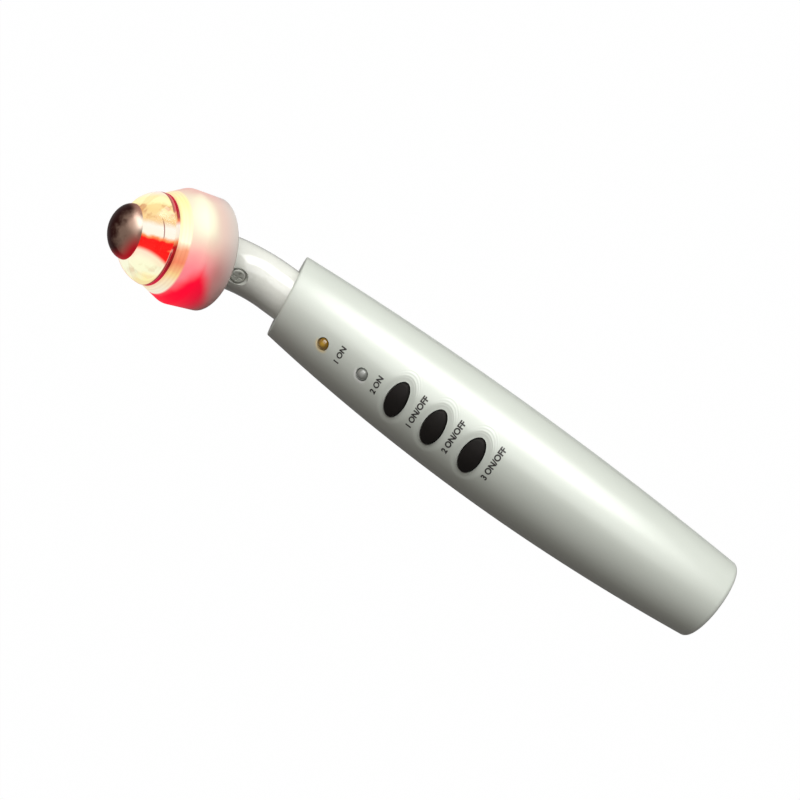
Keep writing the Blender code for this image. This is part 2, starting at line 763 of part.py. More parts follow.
def spring_point(share):
    """Point on the cone spring's wire, from its foot (0) to its tip (1)."""
    radius = spring_foot_radius + (spring_tip_radius - spring_foot_radius) * share
    angle = FULL_TURN * spring_turns * share
    rise = spring_wire / 2 + (spring_length - spring_wire) * share
    return Vector((rise, radius * math.cos(angle), radius * math.sin(angle)))


def make_spring(name, y, foot_x, side):
    """Cone spring that presses on a cell, winding from foot_x towards side."""
    last = spring_turns * spring_points_per_turn
    points = []
    for index in range(last + 1):
        rise, across, up = spring_point(index / last)
        points.append(Vector((foot_x + side * rise, y + across, cell_axis_z + up)))
    wire(name, points, spring_wire / 2, spring_steel)


def report_spring_gap():
    """Print the least gap between neighbouring turns of a spring."""
    last = spring_turns * spring_points_per_turn
    points = [spring_point(index / last) for index in range(last + 1)]
    gaps = [(points[index + spring_points_per_turn] - points[index]).length - spring_wire
            for index in range(last + 1 - spring_points_per_turn)]
    print(f"spring: least gap between turns {min(gaps) / MM:.2f} mm")


def contact_corners(plate_x, y):
    """Corners of a contact plate behind one cell."""
    return ((plate_x, y - contact_half_width, cell_axis_z - contact_half_width),
            (plate_x + contact_thickness, y + contact_half_width, cell_axis_z + contact_half_width))


def make_battery_bay():
    """Tray, two cells in series, cone springs and contact plates."""
    make_battery_tray()
    tail_plate_x = bay_tail_x + seat_gap
    head_plate_x = bay_head_x - seat_gap - contact_thickness
    tail_face_x = tail_plate_x + contact_thickness + seat_gap
    head_face_x = head_plate_x - seat_gap
    make_cell("cell_1", cell_half_pitch, head_face_x - cell_length, 1)
    make_cell("cell_2", -cell_half_pitch, tail_face_x + cell_length, -1)
    make_spring("contact_spring_1", cell_half_pitch, tail_face_x, 1)
    make_spring("contact_spring_2", -cell_half_pitch, head_face_x, -1)
    low, _ = contact_corners(tail_plate_x, -cell_half_pitch)
    _, high = contact_corners(tail_plate_x, cell_half_pitch)
    boxes("link_plate", [(low, high)], spring_steel)
    for name, side in (("positive_plate", 1), ("negative_plate", -1)):
        y = side * cell_half_pitch
        plate = boxes(name, [contact_corners(head_plate_x, y)], spring_steel)
        tab = boxes(f"{name}_tab", [
            ((head_plate_x + contact_thickness / 2, y - contact_tab_half_width,
              cell_axis_z - contact_tab_height / 2),
             (bay_head_x + tray_wall + contact_tab_reach, y + contact_tab_half_width,
              cell_axis_z + contact_tab_height / 2))], spring_steel)
        combine(plate, as_guide(tab), "UNION")


# Electronics
def make_main_board():
    """Circuit board, narrowed to the grip at its nose and notched for the screw bosses."""
    bm = bmesh.new()
    outline = [(mouth_x - board_tail_back, board_half_width),
               (mouth_x - board_shoulder_back, board_half_width),
               (mouth_x - board_head_back, board_nose_half_width)]
    outline += [(x, -y) for x, y in reversed(outline)]
    face = bm.faces.new([bm.verts.new((x, y, board_bottom_z)) for x, y in outline])
    pushed = bmesh.ops.extrude_face_region(bm, geom=[face])
    moved = [item for item in pushed["geom"] if isinstance(item, bmesh.types.BMVert)]
    bmesh.ops.translate(bm, verts=moved, vec=(0, 0, board_thickness))
    board = finish_mesh("main_board", bm, board_green)
    for name, x, y, _ in screw_places()[1:]:
        drill(board, f"{name}_notch", Matrix.Translation((x, y, 0)), [
            (screw_boss_radius + seat_gap, board_bottom_z - overrun, board_top_z + overrun)])


def make_button_set(index, x):
    """Rubber button, the switch below it and the switch's plunger."""
    inner = shell_wall + seat_gap
    flange_x = button_half_width + button_flange_margin
    flange_y = button_half_length + button_flange_margin
    top_x = button_half_width - button_edge
    top_y = button_half_length - button_edge
    oval_stack(f"button_{index}", x, [
        (flange_x, flange_y, inner + button_flange_thickness),
        (flange_x, flange_y, inner),
        (button_half_width, button_half_length, inner),
        (button_half_width, button_half_length, button_edge - button_rise),
        (top_x, top_y, -button_rise),
        (top_x / 2, top_y / 2, -button_rise - button_crown)], black_rubber)
    half = switch_side / 2
    switch = boxes(f"switch_{index}", [((x - half, -half, parts_foot_z), (x + half, half, switch_top_z))],
                   black_plastic)
    place = Matrix.Translation((x, 0, 0))
    plunger_foot_z = switch_top_z - plunger_sunk
    drill(switch, f"switch_well_{index}", place, [
        (plunger_radius + board_gap, plunger_foot_z - button_travel - board_gap,
         switch_top_z + overrun)])
    bm = bmesh.new()
    plunger_top_z = skin_top_z(x, 0, inner + button_flange_thickness) - seat_gap
    add_rod(bm, plunger_radius, plunger_foot_z, plunger_top_z, place)
    finish_mesh(f"plunger_{index}", bm, white_plastic)


def make_indicator(name, x, finish):
    """Round-topped indicator light that stands on the board and shows through the shell."""
    top = skin_top_z(x, 0, 0) + indicator_rise - parts_foot_z
    outline = [(0, 0), (indicator_flange_radius, 0), (indicator_flange_radius, indicator_flange_height),
               (indicator_radius, indicator_flange_height)]
    for step in range(edge_steps + 1):
        angle = QUARTER_TURN * step / edge_steps
        outline.append((indicator_radius * math.cos(angle),
                        top - indicator_radius + indicator_radius * math.sin(angle)))
    outline[-1] = (0, top)
    turned(name, outline, finish, Matrix.Translation((x, 0, parts_foot_z)), screw_sides)


def make_board_parts():
    """Chip and voltage-raising coil."""
    boxes("control_chip", [((chip_x - chip_length / 2, -chip_width / 2, parts_foot_z),
                            (chip_x + chip_length / 2, chip_width / 2, parts_foot_z + chip_height))],
          black_plastic)
    outline = [(0, 0), (coil_radius, 0), (coil_radius, coil_cheek), (coil_waist_radius, coil_cheek),
               (coil_waist_radius, coil_height - coil_cheek), (coil_radius, coil_height - coil_cheek),
               (coil_radius, coil_height), (0, coil_height)]
    turned("boost_coil", outline, ferrite, Matrix.Translation((coil_x, 0, parts_foot_z)), screw_sides)


def make_electronics():
    """Board, switches with their buttons, indicator lights and larger parts."""
    make_main_board()
    for index, x in enumerate(button_xs(), start=1):
        make_button_set(index, x)
    make_indicator("indicator_amber", indicator_xs[0], amber_lens)
    make_indicator("indicator_clear", indicator_xs[1], clear_lens)
    make_board_parts()


# Neck
def arc_stations(start, stop, radius):
    """Stations of one radius from start to stop, close together on the bend."""
    marks = [start] + [bend_length * step / bend_steps for step in range(bend_steps + 1)] + [stop]
    return [(along, radius) for along in sorted(set(marks)) if start <= along <= stop]


def make_neck():
    """Bent tube with a flange inside the grip and a recess for the lock screw."""
    flange = neck_flange_x - bend_start_x
    end = bend_length + neck_end_along
    outside = [(flange, neck_flange_radius), (flange + neck_flange_thickness, neck_flange_radius)]
    outside += arc_stations(flange + neck_flange_thickness, end, neck_radius)
    neck = swept("neck", outside, gloss_white)
    bore = swept("neck_bore", arc_stations(flange - overrun, end + overrun, neck_bore_radius), gloss_white)
    combine(neck, as_guide(bore), "DIFFERENCE")
    drill(neck, "lock_recess", lock_frame(neck_radius - lock_recess_depth), [
        (lock_shank_radius + board_gap, -neck_wall, 0),
        (lock_recess_radius, 0, lock_recess_depth + overrun)])


def lock_frame(distance):
    """Frame at a distance from the neck's centre line, with Z out through the lock screw's axis."""
    point, direction, upward = neck_path(bend_length - lock_screw_back)
    outward = Matrix.Rotation(-lock_roll, 4, direction) @ upward
    turn = outward.to_track_quat("Z", "Y").to_matrix().to_4x4()
    return Matrix.Translation(point + outward * distance) @ turn


def make_lock_screw():
    """Small screw that goes through the neck into the spigot of the head base."""
    top = neck_radius - lock_recess_depth + board_gap + lock_head_height
    frame = lock_frame(top) @ Matrix.Rotation(HALF_TURN, 4, "X")
    make_screw("lock_screw", frame, lock_recess_radius - board_gap, lock_head_height,
               lock_shank_radius, lock_head_height + lock_reach, spring_steel)


# Head
def make_head_base():
    """Disc inside the collar, with a curved spigot that plugs into the neck."""
    start = bend_length - spigot_length
    flat = bend_length + base_along
    outside = arc_stations(start, flat, spigot_radius)
    disc = [(flat, base_radius), (flat + base_thickness, base_radius)]
    base = swept("head_base", outside + disc, white_plastic)
    bore = swept("spigot_bore", arc_stations(start - overrun, flat + base_thickness + overrun,
                                             spigot_bore_radius), white_plastic)
    combine(base, as_guide(bore), "DIFFERENCE")
    drill(base, "spigot_pilot", lock_frame(0), [
        (lock_shank_radius + board_gap, spigot_bore_radius - overrun, neck_bore_radius)])


def shoulder_outline(radius, back_along):
    """Rounded outline from the collar's rear opening out to its full radius."""
    points = []
    for step in range(shoulder_steps + 1):
        angle = QUARTER_TURN * step / shoulder_steps
        out_share = math.sin(angle) ** shoulder_power
        back_share = max(math.cos(angle), 0) ** shoulder_power
        points.append((collar_opening_radius + (radius - collar_opening_radius) * out_share,
                       collar_shoulder_along - (collar_shoulder_along - back_along) * back_share))
    return points


def make_collar():
    """Milky diffuser that surrounds the lamps, with a rounded back and a bevelled front."""
    outside = shoulder_outline(collar_radius, collar_back_along)
    outside += [(collar_radius, collar_corner_along - collar_corner_edge),
                (collar_radius - collar_corner_edge / 3, collar_corner_along),
                (collar_front_radius, collar_front_along)]
    inner_radius = collar_radius - collar_wall
    lip_radius = lens_rim_radius - seal_width
    inside = [(lip_radius, collar_front_along), (lip_radius, collar_front_along - collar_lip_depth),
              (inner_radius, collar_corner_along - collar_corner_edge)]
    inside += list(reversed(shoulder_outline(inner_radius, collar_back_along + collar_wall)))
    turned("collar", outside + inside, milky, head_frame)


def make_lens_seal():
    """Red ring between the collar's front and the lens."""
    low = collar_front_along + seat_gap
    outer = lens_rim_radius
    turned("lens_seal", [(outer, low), (outer, low + seal_thickness),
                         (outer - seal_width, low + seal_thickness), (outer - seal_width, low)],
           red_seal, head_frame)


def lens_outline(start, stop):
    """Bulging outline from one (radius, along) point to another."""
    (start_radius, start_along), (stop_radius, stop_along) = start, stop
    chord = Vector((stop_radius - start_radius, stop_along - start_along))
    outward = Vector((chord.y, -chord.x))
    points = []
    for step in range(lens_steps + 1):
        share = step / lens_steps
        bulge = outward * lens_bulge_share * 4 * share * (1 - share)
        points.append((start_radius + chord.x * share + bulge.x, start_along + chord.y * share + bulge.y))
    return points


def make_lens():
    """Clear lens: a bulging cone from its rim to the tip, with a skirt inside the collar."""
    neck_hole = stem_radius + seat_gap
    top_along = cap_along - seat_gap
    skirt_radius = lens_rim_radius - seal_width - seat_gap
    rim_top = lens_rim_along + lens_rim_height
    outside = [(skirt_radius, lens_rim_along - lens_skirt_depth), (skirt_radius, lens_rim_along),
               (lens_rim_radius, lens_rim_along)]
    outside += lens_outline((lens_rim_radius, rim_top), (cap_radius, top_along))
    inner_radius = skirt_radius - lens_skirt_wall
    inside = [(neck_hole, top_along), (neck_hole, top_along - lens_wall)]
    inside += list(reversed(lens_outline((inner_radius, lens_rim_along),
                                         (cap_radius - lens_wall / 2, top_along - lens_wall))))
    inside += [(inner_radius, lens_rim_along - lens_skirt_depth)]
    turned("lens", outside + inside, clear, head_frame)


def make_tip():
    """Slightly pointed steel dome, the heater below it and the hollow stem that carries them."""
    outside = []
    inside = []
    cap_inner_radius = stem_radius + seat_gap
    for step in range(cap_steps + 1):
        angle = QUARTER_TURN * step / cap_steps
        outside.append((cap_radius * max(math.cos(angle), 0) ** dome_power,
                        cap_along + cap_height * math.sin(angle)))
        inside.append((cap_inner_radius * math.cos(angle), cap_along + cap_shelf
                       + (cap_height - cap_shelf - cap_wall) * math.sin(angle)))
    outside[-1] = (0, cap_along + cap_height)
    inside[-1] = (0, cap_along + cap_height - cap_wall)
    outline = list(reversed(outside)) + [(cap_inner_radius, cap_along)] + inside
    turned("tip_cap", outline, polished_steel, head_frame)
    heater_along = stem_top_along + seat_gap
    heater_top = heater_along + heater_thickness
    turned("heater", [(heater_bore, heater_along), (heater_radius, heater_along),
                      (heater_radius, heater_top), (heater_bore, heater_top)],
           ceramic, head_frame, button_sides)
    foot = head_lamp_along
    turned("tip_stem", [(stem_foot_radius, foot), (stem_foot_radius, stem_step_along),
                        (stem_radius, stem_step_along), (stem_radius, stem_top_along),
                        (stem_bore_radius, stem_top_along), (stem_bore_radius, foot)],
           white_plastic, head_frame, button_sides)


def make_lamps():
    """Round board with red lamps in a circle."""
    turned("lamp_board", [(lamp_board_bore, head_board_along), (lamp_board_radius, head_board_along),
                          (lamp_board_radius, head_board_along + lamp_board_thickness),
                          (lamp_board_bore, head_board_along + lamp_board_thickness)],
           board_green, head_frame)
    outline = [(0, 0), (lamp_radius, 0)]
    for step in range(edge_steps + 1):
        angle = QUARTER_TURN * step / edge_steps
        outline.append((lamp_radius * math.cos(angle),
                        lamp_height - lamp_radius + lamp_radius * math.sin(angle)))
    outline[-1] = (0, lamp_height)
    for index in range(lamp_count):
        turn = Matrix.Rotation(FULL_TURN * index / lamp_count, 4, "Z")
        frame = head_frame @ turn @ Matrix.Translation((lamp_circle, 0, head_lamp_along))
        turned(f"lamp_{index + 1}", outline, lamp_red, frame, screw_sides // 2)


def make_head():
    """Everything beyond the neck."""
    make_head_base()
    make_lock_screw()
    make_collar()
    make_lens_seal()
    make_lens()
    make_tip()
    make_lamps()


# Leads
def head_route(y, stop_along):
    """Route of a lead from the board's underside through the neck to a place in the head."""
    start_z = board_bottom_z - seat_gap
    route = [Vector((lead_start_x, y, start_z)), Vector((lead_start_x, y, start_z - lead_drop))]
    entry_x = neck_flange_x
    middle_x = (lead_start_x + entry_x) / 2
    route.append(Vector((middle_x, y, (start_z - lead_drop + neck_z) / 2)))
    route.append(Vector((entry_x, y, neck_z)))
    route.append(Vector((bend_start_x, y, neck_z)))
    marks = [bend_length * step / 4 for step in range(1, 5)] + [bend_length + stop_along]
    for along in marks:
        point, _, _ = neck_path(along)
        route.append(Vector((point.x, y, point.z)))
    return smooth_route(route)


def make_leads():
    """Leads to the heater, the tip, the lamp board and the battery contacts."""
    heater_end = stem_top_along
    lamp_end = head_board_along - seat_gap
    tip_end = cap_along + cap_height - cap_wall - seat_gap
    for name, place, end, finish in (("lamp_lead_red", 2, lamp_end, lead_red),
                                     ("heater_lead_red", 1, heater_end, lead_red),
                                     ("tip_lead", 0, tip_end, lead_yellow),
                                     ("heater_lead_black", -1, heater_end, lead_black),
                                     ("lamp_lead_black", -2, lamp_end, lead_black)):
        wire(name, head_route(place * lead_pitch, end), lead_radius, finish)
    tab_end_x = bay_head_x + tray_wall + contact_tab_reach
    for name, side, finish in (("cell_lead_red", 1, lead_red), ("cell_lead_black", -1, lead_black)):
        y = side * cell_half_pitch
        start = Vector((tab_end_x + seat_gap, y, cell_axis_z))
        out = start + Vector((cell_lead_drop_x / 2, 0, 0))
        turn = start + Vector((cell_lead_drop_x, 0, cell_lead_drop_x))
        stop = Vector((turn.x, y, board_bottom_z - seat_gap))
        wire(name, smooth_route([start, out, turn, stop]), lead_radius, finish)


clear_scene()
make_grip()
make_shell_screws()
make_battery_bay()
make_electronics()
make_neck()
make_head()
make_leads()
report_spring_gap()
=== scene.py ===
"""Looks of a handheld eye massager: a pearly grip, a bent glossy neck and a lit head.

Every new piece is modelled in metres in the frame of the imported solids, rides on their bodies and
stands for the solids that it refines. The hidden pieces keep their solids and get a finish.
"""

import logging
import math
from collections.abc import Callable, Iterable, Sequence
from dataclasses import dataclass
from enum import Enum

import bmesh
import bpy
from mathutils import Matrix, Vector


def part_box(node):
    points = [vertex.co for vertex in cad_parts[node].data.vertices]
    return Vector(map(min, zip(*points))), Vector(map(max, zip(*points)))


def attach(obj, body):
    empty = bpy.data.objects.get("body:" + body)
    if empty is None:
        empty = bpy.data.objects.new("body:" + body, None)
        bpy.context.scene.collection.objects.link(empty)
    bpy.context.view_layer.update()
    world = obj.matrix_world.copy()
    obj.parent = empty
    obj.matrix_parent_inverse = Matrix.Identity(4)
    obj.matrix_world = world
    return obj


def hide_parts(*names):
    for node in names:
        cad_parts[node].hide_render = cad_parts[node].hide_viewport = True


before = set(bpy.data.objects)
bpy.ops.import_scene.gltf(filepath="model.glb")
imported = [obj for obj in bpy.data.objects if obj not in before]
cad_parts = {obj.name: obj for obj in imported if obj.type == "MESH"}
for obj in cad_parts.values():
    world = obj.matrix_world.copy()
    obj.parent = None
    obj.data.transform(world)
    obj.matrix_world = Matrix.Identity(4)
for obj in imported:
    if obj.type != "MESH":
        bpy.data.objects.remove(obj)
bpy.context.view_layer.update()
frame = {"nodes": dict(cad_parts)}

MM = 0.001
FULL_TURN = 2 * math.pi
QUARTER_TURN = FULL_TURN / 4
WELD = 0.0005 * MM
SEAT_GAP = 0.3 * MM
OVERRUN = 2.0 * MM
SHARP_ANGLE = math.radians(32)
ROUNDING_LIMIT = 0.49
UPRIGHT = Matrix().freeze()

log = logging.getLogger("eye_massager")

Colour = tuple[float, float, float]
Point = tuple[float, float]
Triple = tuple[float, float, float]
Stops = Sequence[tuple[float, Colour]]

DARK: Colour = (0.0, 0.0, 0.0)
WHITE: Colour = (1.0, 1.0, 1.0)


class Body(Enum):
    """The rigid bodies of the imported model."""

    GRIP = "grip"
    LID = "battery_lid"
    KEY_1 = "key_1"
    KEY_2 = "key_2"
    KEY_3 = "key_3"


class Shell(Enum):
    """The two halves of the grip, by the side of the parting line that they lie on."""

    FRONT = 1
    REAR = -1


# Shader maths


class Wire:
    """A socket or a number in shader maths, with operators that add Math nodes."""

    def __init__(self, graph: "Graph", value: bpy.types.NodeSocket | float) -> None:
        """Keep the graph and the socket or number."""
        self.graph = graph
        self.value = value

    def _math(self, operation: str, *others: "Wire | float") -> "Wire":
        """Add one Math node that works on this value and any others."""
        return self.graph.node("ShaderNodeMath", {"operation": operation},
                               dict(enumerate([self, *others])))

    def __add__(self, other: "Wire | float") -> "Wire":
        """Sum."""
        return self._math("ADD", other)

    __radd__ = __add__

    def __sub__(self, other: "Wire | float") -> "Wire":
        """Difference."""
        return self._math("SUBTRACT", other)

    def __rsub__(self, other: float) -> "Wire":
        """Difference from a number."""
        return Wire(self.graph, other)._math("SUBTRACT", self)

    def __mul__(self, other: "Wire | float") -> "Wire":
        """Product."""
        return self._math("MULTIPLY", other)

    __rmul__ = __mul__

    def __truediv__(self, other: "Wire | float") -> "Wire":
        """Quotient."""
        return self._math("DIVIDE", other)

    def __pow__(self, other: float) -> "Wire":
        """Power."""
        return self._math("POWER", other)

    def __abs__(self) -> "Wire":
        """Size without its sign."""
        return self._math("ABSOLUTE")

    def most(self, other: "Wire | float") -> "Wire":
        """The larger of two values."""
        return self._math("MAXIMUM", other)

    def sine(self) -> "Wire":
        """Sine of an angle in radians."""
        return self._math("SINE")

    def step(self, low: float, high: float) -> "Wire":
        """Mask that rises smoothly from 0 at the low value to 1 at the high one."""
        return self.graph.node("ShaderNodeMapRange", {"interpolation_type": "SMOOTHSTEP"},
                               {"Value": self, "From Min": low, "From Max": high,
                                "To Min": 0.0, "To Max": 1.0})

    def twin(self, output: str) -> "Wire":
        """Another output of the node that this value comes from."""
        return Wire(self.graph, self.value.node.outputs[output])


def reach_of(first: Wire, second: Wire) -> Wire:
    """Length of the slope over two sides at right angles."""
    return (first * first + second * second) ** 0.5


class Graph:
    """The node tree of one material or world, measured in millimetres in the frame of the part."""

    def __init__(self, owner: bpy.types.Material | bpy.types.World) -> None:
        """Take over the nodes of a new material or world."""
        owner.use_nodes = True
        self.tree = owner.node_tree
        self.shader = self.tree.nodes.get("Principled BSDF")

    def node(self, kind: str, settings: dict[str, object] | None = None,
             inputs: dict[str | int, object] | None = None, output: str | int = 0) -> Wire:
        """Add a node.

        Args:
            kind: Blender's name for the node type.
            settings: Attributes, which are set first. A ramp takes its stops under "stops".
            inputs: Values or wires for its sockets, by name or place.
            output: Name or place of the output that is wanted.

        Returns:
            The chosen output.
        """
        made = self.tree.nodes.new(kind)
        for key, value in (settings or {}).items():
            if key == "stops":
                self._set_stops(made.color_ramp, value)
            else:
                setattr(made, key, value)
        for key, value in (inputs or {}).items():
            self.feed(made.inputs[key], value)
        return Wire(self, made.outputs[output])

    @staticmethod
    def _set_stops(ramp: bpy.types.ColorRamp, stops: Stops) -> None:
        """Give a colour ramp its stops.

        Args:
            ramp: The ramp of a new node.
            stops: Place and colour of each stop, from left to right.
        """
        while len(ramp.elements) < len(stops):
            ramp.elements.new(0.5)
        for element, (place, colour) in zip(ramp.elements, stops):
            element.position = place
            element.color = (*colour, 1)

    def feed(self, socket: bpy.types.NodeSocket, value: object) -> None:
        """Link or set one input.

        Args:
            socket: The input.
            value: A wire, another node's output, a number, a colour or a vector.
        """
        if isinstance(value, Wire):
            value = value.value
        if isinstance(value, bpy.types.NodeSocket):
            self.tree.links.new(value, socket)
        elif isinstance(value, tuple) and socket.type == "RGBA":
            socket.default_value = (*value[:3], 1)
        else:
            socket.default_value = value

    def principled(self, **values: object) -> None:
        """Set inputs of the shader by their names, with spaces written as underscores."""
        for name, value in values.items():
            self.feed(self.shader.inputs[name.replace("_", " ")], value)

    def place(self) -> Wire:
        """Position on the piece in millimetres, in the frame of the part."""
        here = self.node("ShaderNodeTexCoord", output="Object")
        return self.node("ShaderNodeVectorMath", {"operation": "SCALE"}, {0: here, "Scale": 1 / MM})

    def along(self, place: Wire, start: Vector, direction: Vector) -> Wire:
        """Distance in millimetres from a start point, in metres, along a direction."""
        moved = self.node("ShaderNodeVectorMath", {"operation": "SUBTRACT"},
                          {0: place, 1: tuple(start / MM)})
        return self.node("ShaderNodeVectorMath", {"operation": "DOT_PRODUCT"},
                         {0: moved, 1: tuple(direction)}, output="Value")

    def noise(self, place: Wire, scale: float, detail: float = 2.0) -> Wire:
        """Noise from 0 to 1 with about the given number of grains in a millimetre."""
        return self.node("ShaderNodeTexNoise", {}, {"Vector": place, "Scale": scale,
                                                    "Detail": detail, "Roughness": 0.55})

    def stretched(self, place: Wire, scale: Sequence[float]) -> Wire:
        """Position scaled by its own amount along each axis."""
        return self.node("ShaderNodeMapping", {}, {"Vector": place, "Scale": tuple(scale)})

    def mixed(self, mask: "Wire | float", first: object, second: object) -> Wire:
        """Colour that goes from the first to the second as the mask goes from 0 to 1."""
        return self.node("ShaderNodeMix", {"data_type": "RGBA"},
                         {"Factor": mask, 6: first, 7: second}, output=2)

    def layered(self, base: "Wire | Colour", layers: Iterable[tuple[Wire, object]]) -> Wire:
        """Lay colours over one another.

        Args:
            base: The colour underneath.
            layers: Mask and colour of each layer, from the lowest up.

        Returns:
            The colour on top.
        """
        for mask, colour in layers:
            base = self.mixed(mask, base, colour)
        return base

    def ramp(self, mask: Wire, stops: Stops) -> Wire:
        """Colour from a ramp of (place, colour) stops."""
        return self.node("ShaderNodeValToRGB", {"stops": stops}, {"Fac": mask})

    def bump(self, height: Wire, strength: float, distance: float) -> Wire:
        """Normal of a surface that rises by distance, in millimetres, where height is 1."""
        return self.node("ShaderNodeBump", {}, {"Height": height, "Strength": strength,
                                                "Distance": distance * MM}, output="Normal")


# Finishes


class Finish:
    """Base of every finish: it paints one material."""

    def paint(self, graph: Graph) -> None:
        """Set up the shader of the material."""
        raise NotImplementedError

    def material(self, name: str) -> bpy.types.Material:
        """Make the material of one piece.

        Args:
            name: Name of the piece.

        Returns:
            The finished material.
        """
        made = bpy.data.materials.new(name)
        self.paint(Graph(made))
        return made


@dataclass(frozen=True)
class Grained(Finish):
    """A plain material whose colour and gloss vary a little over fine and broad grain."""

    colour: Colour
    shade: Colour
    roughness: float = 0.4
    spread: float = 0.08
    metallic: float = 0.0
    coat: float = 0.0
    grain: float = 3.0
    relief: float = 0.01
    stretch: Triple = (1.0, 1.0, 1.0)
    shine: float = 0.5

    def paint(self, graph: Graph) -> None:
        """Mix two near colours and two degrees of gloss by noise.

        Args:
            graph: Nodes of the material.
        """
        place = graph.stretched(graph.place(), self.stretch)
        fine = graph.noise(place, self.grain, 3.0)
        broad = graph.noise(place, self.grain / 12)
        mask = (fine * 0.5 + broad * 0.5).step(0.3, 0.7)
        graph.principled(Base_Color=graph.mixed(mask, self.colour, self.shade),
                         Roughness=broad * self.spread + (self.roughness - self.spread / 2),
                         Metallic=self.metallic, Coat_Weight=self.coat, Coat_Roughness=0.08,
                         Specular_IOR_Level=self.shine,
                         Normal=graph.bump(fine, 0.5, self.relief))


@dataclass(frozen=True)
class PearlShell(Finish):
    """Pearly pale grey-green moulding, with ripples round the buttons and painted light spilt by the
    lamps.
    """

    colour: Colour = (0.66, 0.70, 0.635)
    shade: Colour = (0.62, 0.66, 0.595)
    button_places: tuple[float, ...] = ()
    lamp_places: tuple[float, ...] = ()
    # Colours of the light painted beside each lamp.
    painted_spills: tuple[Colour, ...] = ((1.0, 0.82, 0.42), (0.97, 0.98, 0.95))
    half_x: float = 4.3
    half_y: float = 6.6
    ripple_pitch: float = 58.0
    ripple_height: float = 0.28

    def paint(self, graph: Graph) -> None:
        """Mix fine metallic flake, broad clouds, the ripples and the painted spilt light.

        Args:
            graph: Nodes of the material.
        """
        place = graph.place()
        flake = graph.noise(place, 9.0, 2.0)
        cloud = graph.noise(graph.stretched(place, (0.03, 0.12, 0.12)), 1.0)
        mask = (flake * 0.55 + cloud * 0.45).step(0.35, 0.65)
        colour = graph.mixed(mask, self.colour, self.shade)
        relief = graph.noise(place, 1.6, 2.0) * 0.12
        x = graph.node("ShaderNodeSeparateXYZ", {}, {0: place}, output="X")
        y = x.twin("Y")
        for button_x in self.button_places:
            across = (x - button_x / MM) / self.half_x
            around = y / self.half_y
            reach = reach_of(across, around)
            fade = reach.step(0.85, 0.95) * (1 - reach.step(1.15, 1.35))
            lit_side = ((around + across * 0.3) / reach * -1).step(0.55, 1.0)
            ripple = (reach * self.ripple_pitch).sine() * fade
            relief = relief + ripple * (lit_side * self.ripple_height + 0.03)
        # Painted light: a pale crescent beside each lamp, painted into the base colour as the light that
        # the lamp spills.
        for lamp_x, painted_spill in zip(self.lamp_places, self.painted_spills):
            across = x - lamp_x / MM
            reach = reach_of(across, y)
            painted_crescent = (1 - reach.step(1.8, 2.6)) * ((across * 0.4 + y) / reach).step(-0.2, 0.8)
            colour = graph.mixed(painted_crescent * 0.75, colour, painted_spill)
        graph.principled(Base_Color=colour, Roughness=flake * 0.10 + 0.30, Metallic=0.12,
                         Coat_Weight=0.40, Coat_Roughness=0.18,
                         Normal=graph.bump(relief, 0.8, 0.06))


@dataclass(frozen=True)
class HeadSpace:
    """Directions of the head: its axis, and the way up as the photograph shows it."""

    end: Vector
    axis: Vector
    up: Vector
    near: Vector

    def coordinates(self, graph: Graph) -> tuple[Wire, Wire, Wire]:
        """Distances in millimetres along the axis, up and towards the viewer's side."""
        place = graph.place()
        return tuple(graph.along(place, self.end, way) for way in (self.axis, self.up, self.near))


